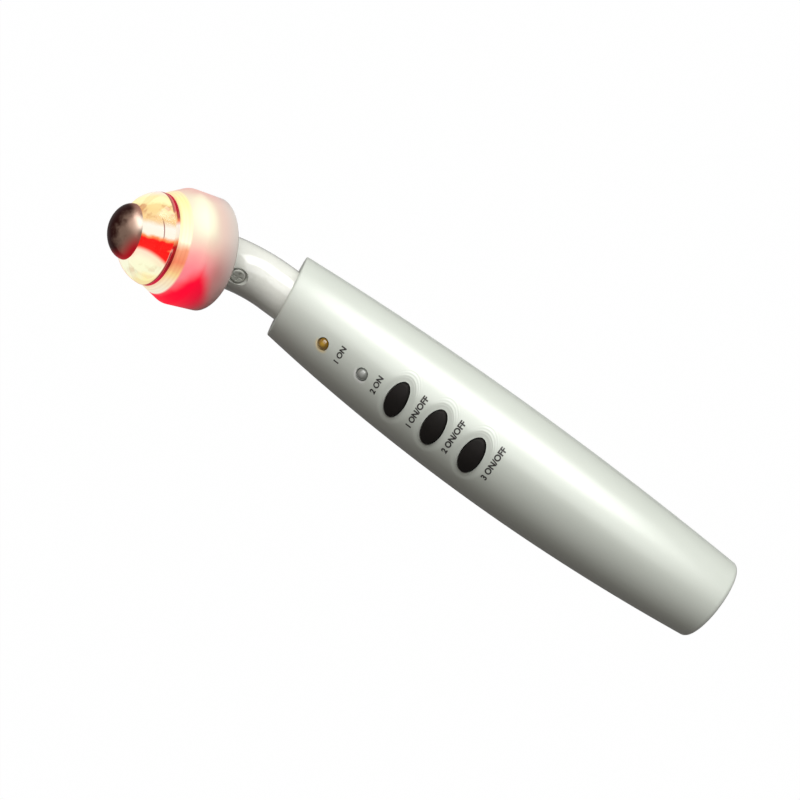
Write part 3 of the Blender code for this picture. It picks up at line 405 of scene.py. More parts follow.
@dataclass(frozen=True)
class GlowCollar(Finish):
    """Milky collar lit from inside: crimson below, warm white above, plain behind."""

    space: HeadSpace
    radius: float
    plain: Colour = (0.62, 0.60, 0.56)
    warm: tuple[Colour, Colour] = ((0.64, 0.46, 0.39), (0.68, 0.62, 0.46))
    rose: tuple[Colour, Colour] = ((0.42, 0.15, 0.14), (0.84, 0.21, 0.24))
    crimson: tuple[Colour, Colour] = ((0.62, 0.003, 0.030), (0.94, 0.001, 0.030))
    brow: Colour = (0.62, 0.36, 0.33)
    # Colour of the painted highlight on the upper front.
    painted_highlight: Colour = (0.82, 0.78, 0.58)
    lip: Stops = (
        (0.08, (0.92, 0.85, 0.68)), (0.20, (0.88, 0.60, 0.26)), (0.28, (0.80, 0.22, 0.11)),
        (0.35, (0.80, 0.30, 0.16)), (0.43, (0.88, 0.86, 0.62)), (0.60, (0.84, 0.84, 0.44)),
        (0.80, (0.82, 0.74, 0.34)), (0.96, (0.82, 0.58, 0.46)))

    def paint(self, graph: Graph) -> None:
        """Mix a painted glow of crimson, rose and warm white by height, strongest in front, with a painted
        highlight and a browner painted top, and give the lip its rings.

        Args:
            graph: Nodes of the material.
        """
        along, up, _ = self.space.coordinates(graph)
        place = graph.place()
        wander = graph.noise(place, 0.16, 2.0) - 0.5
        depth = up * (-1 / self.radius) + wander * 0.2
        front = along.step(6.5, 12.5)
        warm, rose, crimson = (graph.mixed(front, *pair)
                               for pair in (self.warm, self.rose, self.crimson))
        # Painted shade: the glow turns browner towards the top.
        upper = graph.mixed((depth * -1).step(0.60, 0.98), warm, self.brow)
        # Painted highlight: a pale patch on the upper front.
        from_painted_highlight = (((depth + 0.35) / 0.5) ** 2 + ((along - 12.0) / 3.6) ** 2) ** 0.5
        upper = graph.mixed(1 - from_painted_highlight.step(0.1, 1.1), upper, self.painted_highlight)
        glow = graph.mixed(depth.step(-0.15, 0.6), upper, rose)
        reach = depth - abs(along - 11.0) * 0.07
        glow = graph.mixed(reach.step(0.36, 0.70), glow, crimson)
        lip = graph.ramp(depth * -0.5 + 0.5, self.lip)
        front_edge = along.step(14.8, 15.4)
        rings = 1 - ((along * 8.5).sine() * 0.06 + 0.06) * front_edge
        glow = graph.mixed(front_edge, glow, lip)
        # Painted light and shade: the back stays plain and unlit, the front carries the painted glow, and
        # the base colour takes a darker copy of the glow.
        lit = along.step(1.5, 9.0)
        tinted = graph.mixed(0.7, glow, DARK)
        graph.principled(Base_Color=graph.mixed(lit, self.plain, tinted),
                         Roughness=graph.noise(place, 1.2, 2.0) * 0.1 + 0.36,
                         Specular_IOR_Level=0.3,
                         Emission_Color=graph.mixed(lit * rings, DARK, glow),
                         Emission_Strength=1.0)


@dataclass(frozen=True)
class GlowSeal(Finish):
    """Dark red translucent ring that the light washes out at its middle."""

    space: HeadSpace
    radius: float
    glow: Stops = (
        (0.03, (0.66, 0.006, 0.05)), (0.18, (0.20, 0.002, 0.004)), (0.35, (0.45, 0.01, 0.01)),
        (0.40, (0.95, 0.30, 0.10)), (0.45, (1.0, 0.92, 0.72)), (0.57, (1.0, 0.97, 0.84)),
        (0.62, (0.90, 0.22, 0.08)), (0.66, (0.35, 0.0, 0.01)), (0.97, (0.62, 0.005, 0.05)))

    def paint(self, graph: Graph) -> None:
        """Mix dark red and the washed-out part by height.

        Args:
            graph: Nodes of the material.
        """
        _, up, _ = self.space.coordinates(graph)
        glow = graph.ramp(up / self.radius * 0.5 + 0.5, self.glow)
        grain = graph.noise(graph.place(), 2.0, 2.0)
        graph.principled(Base_Color=(0.06, 0.001, 0.003), Roughness=grain * 0.1 + 0.12,
                         Emission_Color=glow, Emission_Strength=0.85)


@dataclass(frozen=True)
class GlowLens(Finish):
    """Clear lens full of warm light, clearer where the column shows, with brownish streaks."""

    space: HeadSpace
    radius: float
    rim_along: float
    bottom: Colour = (0.98, 0.90, 0.44)
    lower: Colour = (0.97, 0.99, 0.68)
    middle: Colour = (1.0, 0.93, 0.70)
    upper: Colour = (0.98, 0.93, 0.44)
    top: Colour = (1.0, 0.96, 0.86)
    orange: Colour = (0.88, 0.57, 0.20)
    brown: Colour = (0.58, 0.20, 0.06)
    outline: Colour = (0.86, 0.16, 0.08)
    crimson: Colour = (0.62, 0.006, 0.05)
    dark_line: Colour = (0.16, 0.0, 0.006)

    def paint(self, graph: Graph) -> None:
        """Mix warm light by height, a crimson rim and streaks, and let the column show through.

        Args:
            graph: Nodes of the material.
        """
        along, up, near = self.space.coordinates(graph)
        place = graph.place()
        share = up / self.radius
        height = share + (graph.noise(place, 0.42, 3.0) - 0.5) * 0.25
        streaks = graph.noise(graph.stretched(place, (1.2, 0.7, 0.9)), 0.30, 2.0).step(0.48, 0.60)
        belt = height.step(0.10, 0.24) * (1 - height.step(0.50, 0.62))
        brown = streaks * height.step(0.22, 0.34) * (1 - height.step(0.48, 0.58)) * 0.9
        low_brown = streaks * height.step(-0.84, -0.78) * (1 - height.step(-0.74, -0.68)) * 0.25
        facing = graph.node("ShaderNodeLayerWeight", {}, {"Blend": 0.5}, output="Facing")
        # Painted glow: a red edge where the lens is seen edge-on, stronger towards the bottom.
        outline = facing.step(0.80, 0.98) * (1 - height.step(-0.6, -0.1) * 0.6)
        side = abs(share).step(0.34, 0.46) * reach_of(up, near).step(self.radius - 1.2,
                                                                     self.radius - 0.9)
        beyond = along - self.rim_along - share.step(-0.2, 0.2) * 0.4
        rim = (1 - beyond.step(0.40, 0.65)) * side
        line = (1 - abs(beyond - 0.30).step(0.05, 0.22)) * side
        colour = graph.layered(self.bottom, [
            (height.step(-0.95, -0.80), self.lower), (height.step(-0.72, -0.45), self.middle),
            (height.step(0.25, 0.45), self.upper), (height.step(0.70, 0.95), self.top),
            (belt * 0.8, self.orange), (brown.most(low_brown), self.brown),
            (outline * 0.8, self.outline), (rim, self.crimson), (line, self.dark_line)])
        slant = (along - (self.rim_along + 2.7)) * -0.05
        column = (share + slant).step(-0.60, -0.50) * (1 - share.step(0.12, 0.36))
        clear = 0.86 - column * 0.857
        graph.principled(Base_Color=(0.12, 0.10, 0.07), Roughness=0.05, Coat_Weight=0.3,
                         Coat_Roughness=0.03, IOR=1.49,
                         Emission_Color=colour, Emission_Strength=0.96,
                         Alpha=clear.most(brown * 0.75).most(rim * 0.9))


@dataclass(frozen=True)
class GlowColumn(Finish):
    """Hollow column behind the lens: white light above and a deep red shade below."""

    space: HeadSpace
    radius: float
    step_along: float
    dark_line: Colour = (0.25, 0.0, 0.01)
    bands: Stops = (
        (0.04, (1.0, 0.60, 0.28)), (0.13, (0.98, 0.06, 0.03)), (0.17, (0.98, 0.002, 0.004)),
        (0.37, (0.98, 0.002, 0.004)), (0.42, (0.98, 0.35, 0.12)), (0.48, (1.0, 0.96, 0.80)),
        (0.66, (1.0, 0.98, 0.86)), (0.82, (0.88, 0.56, 0.24)))

    def paint(self, graph: Graph) -> None:
        """Mix the bands by height, with ragged edges and a dark line at the step.

        Args:
            graph: Nodes of the material.
        """
        along, up, near = self.space.coordinates(graph)
        ragged = (graph.noise(graph.place(), 0.35, 2.0) - 0.5) * 1.8
        height = (up + ragged) / self.radius * 0.5 + 0.5
        slant = (along - (self.step_along + 2.9)) * (1 - height.step(0.22, 0.32)) * 0.032
        bands = graph.ramp(height - slant, self.bands)
        outer = reach_of(up, near).step(self.radius - 0.35, self.radius - 0.15)
        edge = (1 - abs(along - self.step_along).step(0.05, 0.22)) * outer * height.step(0.40, 0.48)
        graph.principled(Base_Color=(0.04, 0.01, 0.008), Roughness=0.4, Specular_IOR_Level=0.1,
                         Emission_Color=graph.mixed(edge * 0.9, bands, self.dark_line),
                         Emission_Strength=0.97)


@dataclass(frozen=True)
class DomeSteel(Finish):
    """Dark polished steel with painted reflections: lighter where it faces the viewer, red along its lower
    edge and a painted highlight at its foot, with fine wear.
    """

    space: HeadSpace
    radius: float
    base: float
    # Colours of the steel and of the painted reflections and highlight.
    plum: Colour = (0.042, 0.010, 0.008)
    grey: Colour = (0.24, 0.16, 0.125)
    painted_red_reflection_base: Colour = (0.30, 0.02, 0.02)
    dim: tuple[Colour, Colour] = ((0.010, 0.0, 0.0), (0.13, 0.082, 0.060))
    painted_red_reflection: Colour = (0.36, 0.003, 0.012)
    painted_rosy_reflection: Colour = (0.40, 0.18, 0.13)
    painted_foot_highlight: Colour = (1.0, 0.95, 0.82)

    def paint(self, graph: Graph) -> None:
        """Mix dark plum and a painted grey reflection from the tip to the foot on the side that faces the
        viewer, and paint a red reflection on the lower edge and a rosy reflection and a highlight at the
        foot.

        Args:
            graph: Nodes of the material.
        """
        along, up, near = self.space.coordinates(graph)
        place = graph.place()
        cloud = graph.noise(place, 0.45, 3.0)
        rise = along - self.base
        # Painted reflection: the steel turns from dark plum to a lighter grey on the side that faces the
        # viewer.
        facing = ((near - up * 0.35) / self.radius + (cloud - 0.5) * 0.9).step(0.15, 0.75)
        steel = graph.mixed(facing, self.plum, self.grey)
        height = up / self.radius
        # Painted reflection: red along the lower edge near the foot, in the metal's colour and in its
        # glow.
        low = (1 - height.step(-0.75, -0.15)) * (1 - rise.step(0.5, 3.4))
        # Painted highlight at the foot.
        painted_foot_highlight = (1 - abs(height - 0.14).step(0.04, 0.36)) * (1 - rise.step(0.2, 2.4))
        # Painted rosy reflection on the upper side of the foot.
        foot = (1 - rise.step(0.3, 2.2)) * height.step(0.3, 0.6)
        # The glow is painted reflection throughout: a dim one by facing, then the red one, the rosy one
        # and the highlight.
        glow = graph.layered(graph.mixed(facing, *self.dim), [
            (low, self.painted_red_reflection), (foot * 0.8, self.painted_rosy_reflection), (painted_foot_highlight * 0.8, self.painted_foot_highlight)])
        scratch = graph.noise(graph.stretched(place, (6.0, 0.5, 6.0)), 2.0, 2.0)
        graph.principled(Base_Color=graph.mixed(low, steel, self.painted_red_reflection_base), Metallic=1.0,
                         Roughness=cloud * 0.14 + 0.28, Normal=graph.bump(scratch, 0.15, 0.004),
                         Emission_Color=glow, Emission_Strength=0.9)


@dataclass(frozen=True)
class LampDome(Finish):
    """Small round-topped indicator, brighter towards its tip when it is lit."""

    colour: Colour
    heart: Colour
    glow: float
    centre_x: float
    radius: float

    def paint(self, graph: Graph) -> None:
        """Mix the heart into the rim by the distance from the dome's axis.

        Args:
            graph: Nodes of the material.
        """
        place = graph.place()
        centre = Vector((self.centre_x, 0, 0))
        across = graph.along(place, centre, Vector((1, 0, 0)))
        aside = graph.along(place, centre, Vector((0, 1, 0)))
        mask = 1 - (reach_of(across, aside) / (self.radius / MM)).step(0.15, 0.75)
        grain = graph.noise(place, 3.0, 2.0)
        colour = graph.mixed(mask, self.colour, self.heart)
        graph.principled(Base_Color=colour, Roughness=grain * 0.08 + 0.06, Coat_Weight=0.8,
                         Coat_Roughness=0.03, Emission_Color=colour,
                         Emission_Strength=self.glow)


@dataclass(frozen=True)
class CellJacket(Finish):
    """Printed foil of a cell: two bands of colour and a bare metal end."""

    start: float
    length: float
    colour: Colour = (0.03, 0.06, 0.20)
    band: Colour = (0.45, 0.30, 0.05)
    metal: Colour = (0.62, 0.61, 0.59)

    def paint(self, graph: Graph) -> None:
        """Split the foil into its bands along the cell.

        Args:
            graph: Nodes of the material.
        """
        place = graph.place()
        along = graph.along(place, Vector((self.start, 0, 0)), Vector((1, 0, 0))) * (MM / self.length)
        foil = graph.mixed(along.step(0.69, 0.70), self.colour, self.band)
        bare = 1 - along.step(0.02, 0.025) * (1 - along.step(0.975, 0.98))
        grain = graph.noise(place, 4.0, 2.0)
        graph.principled(Base_Color=graph.mixed(bare, foil, self.metal),
                         Metallic=bare * 0.6 + 0.4, Roughness=grain * 0.12 + 0.2)


@dataclass(frozen=True)
class BoardResist(Finish):
    """Green solder resist with paler tracks and pads."""

    colour: Colour = (0.012, 0.10, 0.035)
    track: Colour = (0.03, 0.22, 0.08)

    def paint(self, graph: Graph) -> None:
        """Draw square-cornered tracks with a brick pattern.

        Args:
            graph: Nodes of the material.
        """
        place = graph.place()
        tracks = graph.node("ShaderNodeTexBrick", {}, {
            "Vector": place, "Scale": 0.55, "Mortar Size": 0.05, "Color1": DARK, "Color2": DARK,
            "Mortar": WHITE}, output="Fac")
        grain = graph.noise(place, 2.0, 2.0)
        graph.principled(Base_Color=graph.mixed(tracks, self.colour, self.track),
                         Roughness=grain * 0.12 + 0.28, Coat_Weight=0.3,
                         Normal=graph.bump(tracks, 0.4, 0.03))


# Modelling


def shares(steps: int, first: int = 1) -> list[float]:
    """Equal shares of a whole, from the first step to the last."""
    return [step / steps for step in range(first, steps + 1)]


def arc(steps: int, first: int = 0) -> list[Point]:
    """Cosine and sine at the equal steps of a quarter turn."""
    return [(math.cos(QUARTER_TURN * share), math.sin(QUARTER_TURN * share))
            for share in shares(steps, first)]


def square_to(vector: Vector, axis: Vector) -> Vector:
    """Direction of the part of a vector that stands square to an axis."""
    return (vector - axis * vector.dot(axis)).normalized()


def put(name: str, data: bpy.types.ID) -> bpy.types.Object:
    """Put a new object in the scene.

    Args:
        name: Its name.
        data: Its mesh, curve, light or camera.

    Returns:
        The object.
    """
    made = bpy.data.objects.new(name, data)
    bpy.context.scene.collection.objects.link(made)
    return made


class Form:
    """A mesh under construction, which ends as one piece of the model."""

    def __init__(self) -> None:
        """Start empty."""
        self.bm = bmesh.new()

    def sheet(self, rows: int, columns: int, place: Callable[[int, int], Vector]) -> "Form":
        """Lay a grid on a surface.

        Args:
            rows: Number of points along the surface.
            columns: Number of points across it.
            place: Gives the point for a row and a column.

        Returns:
            This form.
        """
        made = bmesh.ops.create_grid(self.bm, x_segments=rows - 1, y_segments=columns - 1, size=0.5)
        for vert in made["verts"]:
            row = round((vert.co.x + 0.5) * (rows - 1))
            column = round((vert.co.y + 0.5) * (columns - 1))
            vert.co = place(row, column)
        return self

    def lathe(self, outline: Sequence[Point], steps: int, place: Matrix) -> "Form":
        """Turn an outline of (radius, along) points about the Z axis of a frame.

        Args:
            outline: The points, in metres. The last is joined to the first unless both lie on the axis.
            steps: Number of steps of the turn.
            place: Frame of the turned body.

        Returns:
            This form.
        """
        verts = [self.bm.verts.new((radius, 0, along)) for radius, along in outline]
        closing = [] if outline[0][0] == 0 else verts[:1]
        edges = [self.bm.edges.new(pair) for pair in zip(verts, verts[1:] + closing)]
        bmesh.ops.spin(self.bm, geom=verts + edges, cent=(0, 0, 0), axis=(0, 0, 1),
                       angle=FULL_TURN, steps=steps, use_merge=True)
        bmesh.ops.remove_doubles(self.bm, verts=self.bm.verts, dist=WELD)
        bmesh.ops.transform(self.bm, matrix=place, verts=self.bm.verts)
        return self

    def bar(self, places: Sequence[Matrix], sides: int) -> "Form":
        """Skin unit circles, each put in place by a matrix, and cap both ends.

        Args:
            places: Matrices of the circles, in order.
            sides: Number of points of each circle.

        Returns:
            This form.
        """
        circle = bmesh.ops.create_circle(self.bm, cap_ends=False, radius=1, segments=sides,
                                         matrix=places[0])
        edges = list({edge for vert in circle["verts"] for edge in vert.link_edges})
        first = edges
        for before, after in zip(places, places[1:]):
            pushed = bmesh.ops.extrude_edge_only(self.bm, edges=edges)["geom"]
            row = {item for item in pushed if isinstance(item, bmesh.types.BMVert)}
            edges = [item for item in pushed if isinstance(item, bmesh.types.BMEdge)
                     and all(vert in row for vert in item.verts)]
            bmesh.ops.transform(self.bm, matrix=after @ before.inverted(), verts=list(row))
        bmesh.ops.holes_fill(self.bm, edges=first + edges, sides=0)
        return self

    def rod(self, start: Sequence[float], stop: Sequence[float], halves: Point, sides: int,
            turn: Matrix = UPRIGHT) -> "Form":
        """Add a straight oval rod between two points.

        Args:
            start: Centre of its first end.
            stop: Centre of its other end.
            halves: Half its width each way.
            sides: Number of its sides.
            turn: Turns its ends from level ones.

        Returns:
            This form.
        """
        oval = turn @ Matrix.Diagonal((*halves, 1, 1))
        return self.bar([Matrix.Translation(spot) @ oval for spot in (start, stop)], sides)

    def block(self, low: Sequence[float], high: Sequence[float]) -> "Form":
        """Add a box.

        Args:
            low: Its corner with the least of each coordinate.
            high: Its opposite corner.

        Returns:
            This form.
        """
        size = Vector(high) - Vector(low)
        place = Matrix.Translation((Vector(high) + Vector(low)) / 2) @ Matrix.Diagonal((*size, 1))
        bmesh.ops.create_cube(self.bm, size=1, matrix=place)
        return self

    def weld(self) -> None:
        """Merge doubles, close open edges and turn every face outwards."""
        bmesh.ops.remove_doubles(self.bm, verts=self.bm.verts, dist=WELD)
        open_edges = [edge for edge in self.bm.edges if edge.is_boundary]
        bmesh.ops.holes_fill(self.bm, edges=open_edges, sides=0)
        bmesh.ops.recalc_face_normals(self.bm, faces=self.bm.faces)
        if self.bm.calc_volume(signed=True) < 0:
            bmesh.ops.reverse_faces(self.bm, faces=self.bm.faces)

    def loose(self, name: str) -> bpy.types.Object:
        """Make a plain object, for use as a cutter or a first stage.

        Args:
            name: Its name.

        Returns:
            The object.
        """
        self.weld()
        mesh = bpy.data.meshes.new(name)
        self.bm.to_mesh(mesh)
        self.bm.free()
        return put(name, mesh)


def baked_mesh(thing: bpy.types.Object) -> bpy.types.Mesh:
    """Mesh of an object as it is shown, with its modifiers done."""
    graph = bpy.context.evaluated_depsgraph_get()
    return bpy.data.meshes.new_from_object(thing.evaluated_get(graph))


def carve(target: bpy.types.Object, cutter: bpy.types.Object, operation: str = "DIFFERENCE") -> None:
    """Combine a piece with a cutter for good, and remove the cutter.

    Args:
        target: The piece that changes.
        cutter: The other body.
        operation: Kind of Boolean.
    """
    step = target.modifiers.new(cutter.name, "BOOLEAN")
    step.operation = operation
    step.solver = "EXACT"
    step.object = cutter
    baked = baked_mesh(target)
    target.modifiers.clear()
    spent = target.data
    target.data = baked
    bpy.data.meshes.remove(spent)
    bpy.data.objects.remove(cutter, do_unlink=True)


def dress(made: bpy.types.Object, finish: Finish, stands_for: Sequence[str] = (),
          body: Body = Body.GRIP) -> bpy.types.Object:
    """Finish a piece: shading, material, body and the solids that it stands for.

    Args:
        made: The piece, with its mesh in place.
        finish: Its finish.
        stands_for: Names of the solids that it replaces.
        body: The body that it rides on.

    Returns:
        The piece.
    """
    made.data.materials.clear()
    made.data.materials.append(finish.material(made.name))
    made.data.shade_smooth()
    made.data.set_sharp_from_angle(angle=SHARP_ANGLE)
    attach(made, body.value)
    if stands_for:
        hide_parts(*stands_for)
    return made


def corner(before: Vector, tip: Vector, after: Vector, steps: int) -> list[Vector]:
    """Round a corner.

    Args:
        before: Point where the rounding starts.
        tip: The corner itself.
        after: Point where the rounding ends.
        steps: Number of steps.

    Returns:
        The points from before to after.
    """
    return [before * (1 - share) ** 2 + tip * (2 * share * (1 - share)) + after * share ** 2
            for share in shares(steps, 0)]


def rounded(outline: Sequence[Triple], steps: int = 5) -> list[Point]:
    """Round the corners of a closed outline.

    Args:
        outline: Points (radius, along, rounding), in metres. A rounding of 0 keeps the corner.
        steps: Steps of each rounding.

    Returns:
        The rounded outline.
    """
    points: list[Point] = []
    for index, (radius, along, soft) in enumerate(outline):
        if not soft:
            points.append((radius, along))
            continue
        here = Vector((radius, along))
        ends = []
        for neighbour in (outline[index - 1], outline[(index + 1) % len(outline)]):
            side = Vector(neighbour[:2]) - here
            ends.append(here + side.normalized() * min(soft, side.length * ROUNDING_LIMIT))
        points += [(point.x, point.y) for point in corner(ends[0], here, ends[1], steps)]
    return points


# Grip


@dataclass
class Grip:
    """The two shells, the battery lid and the screw holes."""

    mouth_x: float = 47.0 * MM
    belly_x: float = -15.0 * MM
    belly_radius: float = 14.0 * MM
    tail_x: float = -84.5 * MM
    tail_taper: float = 3.5 * MM
    mouth_taper: float = 2.4 * MM
    mouth_slant: float = math.radians(25.5)
    rest_depth: float = 0.6 * MM
    wall: float = 1.7 * MM
    tail_edge: float = 1.0 * MM
    rim_edge: float = 0.45 * MM
    neck_z: float = 11.7 * MM
    neck_hole: float = 7.5 * MM
    hole_half_x: float = 2.7 * MM
    hole_half_y: float = 5.0 * MM
    dish_reach: float = 1.9 * MM
    dish_depth: float = 0.35 * MM
    lamp_hole: float = 1.7 * MM
    button_xs: tuple[float, ...] = (2.6 * MM, -8.6 * MM, -19.8 * MM)
    lamp_xs: tuple[float, ...] = (26.2 * MM, 13.3 * MM)
    door_low_x: float = -57.9 * MM
    door_high_x: float = -7.5 * MM
    door_edge_y: float = 10.9 * MM
    door_top_z: float = 9.6 * MM
    lid_wall: float = 2.0 * MM
    groove_inset: float = 5.0 * MM
    groove_pitch: float = 2.2 * MM
    groove_radius: float = 0.8 * MM
    groove_half_length: float = 3.4 * MM
    grooves: int = 3
    screw_places: tuple[Point, ...] = ((-69.5 * MM, 0.0), (4.0 * MM, 8.8 * MM), (4.0 * MM, -8.8 * MM))
    split_drop: float = 1.5 * MM
    counterbore: float = 2.4 * MM
    screw_grip: float = 2.4 * MM
    post_radius: float = 3.0 * MM
    seam_gap: float = 0.08 * MM
    hole_top: float = 30.8 * MM
    upper_share: float = 0.3
    mouth_rounds: int = 9
    body_rows: int = 250
    columns: int = 97

    def radius(self, x: float) -> float:
        """Radius of the round section.

        Args:
            x: Place along the grip.

        Returns:
            The radius there.
        """
        taper, end_x = ((self.tail_taper, self.tail_x) if x < self.belly_x
                        else (self.mouth_taper, self.mouth_x))
        return self.belly_radius - taper * ((x - self.belly_x) / (end_x - self.belly_x)) ** 2

    def axis_z(self, x: float) -> float:
        """Height of the section's centre."""
        return self.radius(x) - self.rest_depth

    def top_z(self, x: float, y: float, inset: float = 0.0) -> float:
        """Height of the upper skin, measured inset below the outer surface."""
        radius = self.radius(x) - inset
        return self.axis_z(x) + math.sqrt(max(radius * radius - y * y, 0))

    def dip(self, x: float, y: float) -> float:
        """Depth of the dishes round the buttons.

        Args:
            x: Place along the grip.
            y: Place across it.

        Returns:
            The depth there, 0 away from the dishes.
        """
        depth = 0.0
        for button_x in self.button_xs:
            across = abs(x - button_x)
            reach = math.hypot(across / self.hole_half_x, y / self.hole_half_y)
            if reach > 0:
                beyond = (reach - 1) / reach * math.hypot(across, y)
                share = min(max(beyond / self.dish_reach, 0.0), 1.0)
                depth = max(depth, self.dish_depth * (1 - share * share * (3 - 2 * share)))
        return depth

    def skin_point(self, x: float, radius: float, angle: float, flat: bool) -> Vector:
        """Point of the section at x, kept above the flat of the back where asked.

        Args:
            x: Place along the grip.
            radius: Radius of the circle there.
            angle: Angle round the circle, from +Y up.
            flat: Whether the flat of the back cuts the circle.

        Returns:
            The point.
        """
        z = self.axis_z(x) + radius * math.sin(angle)
        return Vector((x, radius * math.cos(angle), max(z, 0.0) if flat else z))

    def mouth_x_at(self, z: float, setback: float) -> float:
        """Place along the grip of the slanted mouth, set back by a wall, at a height."""
        return (self.mouth_x - setback / math.cos(self.mouth_slant)
                - math.tan(self.mouth_slant) * (z - self.axis_z(self.mouth_x)))

    def mouth_point(self, loss: float, angle: float, setback: float) -> Vector:
        """Where the skin, drawn in, meets the slanted mouth.

        Args:
            loss: How far the skin is drawn in.
            angle: Angle round the section, from +Y up.
            setback: Wall that the mouth is set back by.

        Returns:
            The point.
        """
        x = self.mouth_x
        for _ in range(self.mouth_rounds):
            point = self.skin_point(x, self.radius(x) - loss, angle, loss < self.rest_depth)
            x = self.mouth_x_at(point.z, setback)
        return point

    def hole_point(self, angle: float, setback: float, spread: float = 0.0) -> Vector:
        """Edge of the neck's hole on the mouth plane.

        Args:
            angle: Angle round the hole, from +Y up.
            setback: Wall that the plane is set back by.
            spread: How far outside the hole's edge the point lies.

        Returns:
            The point.
        """
        radius = self.neck_hole + spread
        z = self.neck_z + radius * math.sin(angle)
        return Vector((self.mouth_x_at(z, setback), radius * math.cos(angle), z))

    def profile(self, angle: float, wall: float) -> list[Vector]:
        """The shell's whole outline at one angle, from its outer tail pole to its inner one.

        Args:
            angle: Angle round the section, from +Y up.
            wall: Thickness of the wall.

        Returns:
            The points, with the same number at every angle.
        """
        face_radius = self.radius(self.tail_x) - self.tail_edge
        points = [self.skin_point(self.tail_x, face_radius * share, angle, True)
                  for share in shares(8, 0)]
        for cosine, sine in arc(12, 1):
            x = self.tail_x + self.tail_edge * (1 - cosine)
            points.append(self.skin_point(x, self.radius(x) - self.tail_edge * (1 - sine), angle, True))
        start_x = self.tail_x + self.tail_edge
        tip = self.mouth_point(0.0, angle, 0.0)
        for share in shares(self.body_rows):
            x = start_x + (tip.x - self.rim_edge - start_x) * share
            point = self.skin_point(x, self.radius(x), angle, True)
            sunk = self.dip(x, point.y) if math.sin(angle) > self.upper_share else 0.0
            points.append(self.skin_point(x, self.radius(x) - sunk, angle, True))
        face_start = self.mouth_point(self.rim_edge, angle, 0.0)
        points += corner(points[-1], tip, face_start, 6)[1:]
        hole_tip = self.hole_point(angle, 0.0)
        hole_rim = self.hole_point(angle, 0.0, self.rim_edge)
        points += [face_start.lerp(hole_rim, share) for share in shares(4)]
        points += corner(hole_rim, hole_tip, hole_tip + Vector((-self.rim_edge, 0, 0)), 4)[1:]
        inner_mouth = self.mouth_point(wall, angle, self.wall)
        points += [self.hole_point(angle, self.wall), inner_mouth]
        inner_x = self.tail_x + self.wall
        for share in shares(24):
            x = inner_mouth.x + (inner_x - inner_mouth.x) * share
            points.append(self.skin_point(x, self.radius(x) - wall, angle, False))
        points.append(self.skin_point(inner_x, 0.0, angle, False))
        return points

    def half(self, side: Shell, wall: float | None = None) -> bpy.types.Object:
        """Build one hollow half of the grip, with its rounded tail, rim and neck hole.

        Args:
            side: Which half.
            wall: Its wall, where it isn't the shells' own.

        Returns:
            The bare half.
        """
        tilt = self.seam_gap / self.belly_radius
        first = tilt if side is Shell.FRONT else math.pi + tilt
        profiles = [self.profile(first + (math.pi - 2 * tilt) * share, wall or self.wall)
                    for share in shares(self.columns - 1, 0)]
        form = Form().sheet(len(profiles[0]), self.columns, lambda row, column: profiles[column][row])
        return form.loose(f"grip_{side.name.lower()}")

    def build_front(self) -> bpy.types.Object:
        """Make the button side, with holes for the buttons and the lamps.

        Returns:
            The piece.
        """
        shell = self.half(Shell.FRONT)
        cutters = Form()
        holes = [(x, (self.hole_half_x, self.hole_half_y), 96) for x in self.button_xs]
        holes += [(x, (self.lamp_hole, self.lamp_hole), 48) for x in self.lamp_xs]
        for x, halves, sides in holes:
            cutters.rod((x, 0, self.belly_radius), (x, 0, self.hole_top), halves, sides)
        carve(shell, cutters.loose("holes"))
        finish = PearlShell(button_places=self.button_xs, lamp_places=self.lamp_xs)
        return dress(shell, finish, ["front_shell"])

    def build_rear(self) -> bpy.types.Object:
        """Make the back, with the battery opening, posts and sunk screw holes.

        Returns:
            The piece.
        """
        shell = self.half(Shell.REAR)
        opening = Form().block((self.door_low_x, -self.door_edge_y, -OVERRUN),
                               (self.door_high_x, self.door_edge_y, self.door_top_z))
        carve(shell, opening.loose("opening"))
        for x, y in self.screw_places:
            top_z = self.axis_z(x) - self.split_drop
            skin_z = self.axis_z(x) - math.sqrt((self.radius(x) - self.wall / 2) ** 2 - y * y)
            low_z = skin_z + self.post_radius * abs(y) / self.radius(x)
            post = Form().rod((x, y, low_z), (x, y, top_z), (self.post_radius, self.post_radius), 48)
            carve(shell, post.loose("post"), "UNION")
            seat_z = top_z - self.screw_grip
            sunk = Form().lathe([(0.0, -OVERRUN), (self.counterbore, -OVERRUN),
                                 (self.counterbore, seat_z), (0.0, seat_z)], 48,
                                Matrix.Translation((x, y, 0)))
            carve(shell, sunk.loose("sunk"))
        return dress(shell, PearlShell(), ["rear_shell"])

    def build_lid(self) -> bpy.types.Object:
        """Make the battery lid, with a row of grip grooves at its tail end.

        Returns:
            The piece.
        """
        lid = self.half(Shell.REAR, self.lid_wall)
        lid.name = "battery_cover"
        blank = Form().block((self.door_low_x + SEAT_GAP, -self.door_edge_y + SEAT_GAP, SEAT_GAP),
                             (self.door_high_x - SEAT_GAP, self.door_edge_y - SEAT_GAP,
                              self.door_top_z - SEAT_GAP))
        carve(lid, blank.loose("lid_blank"), "INTERSECT")
        for index in range(self.grooves):
            x = self.door_low_x + self.groove_inset + self.groove_pitch * index
            groove = Form().rod((x, self.groove_half_length, 0), (x, -self.groove_half_length, 0),
                                (self.groove_radius, self.groove_radius), 32,
                                Matrix.Rotation(QUARTER_TURN, 4, "X"))
            carve(lid, groove.loose("groove"))
        return dress(lid, PearlShell(), ["battery_door"], Body.LID)

    def build(self) -> list[bpy.types.Object]:
        """Build the whole grip."""
        return [self.build_front(), self.build_rear(), self.build_lid()]


# Buttons, lamps and printed marks


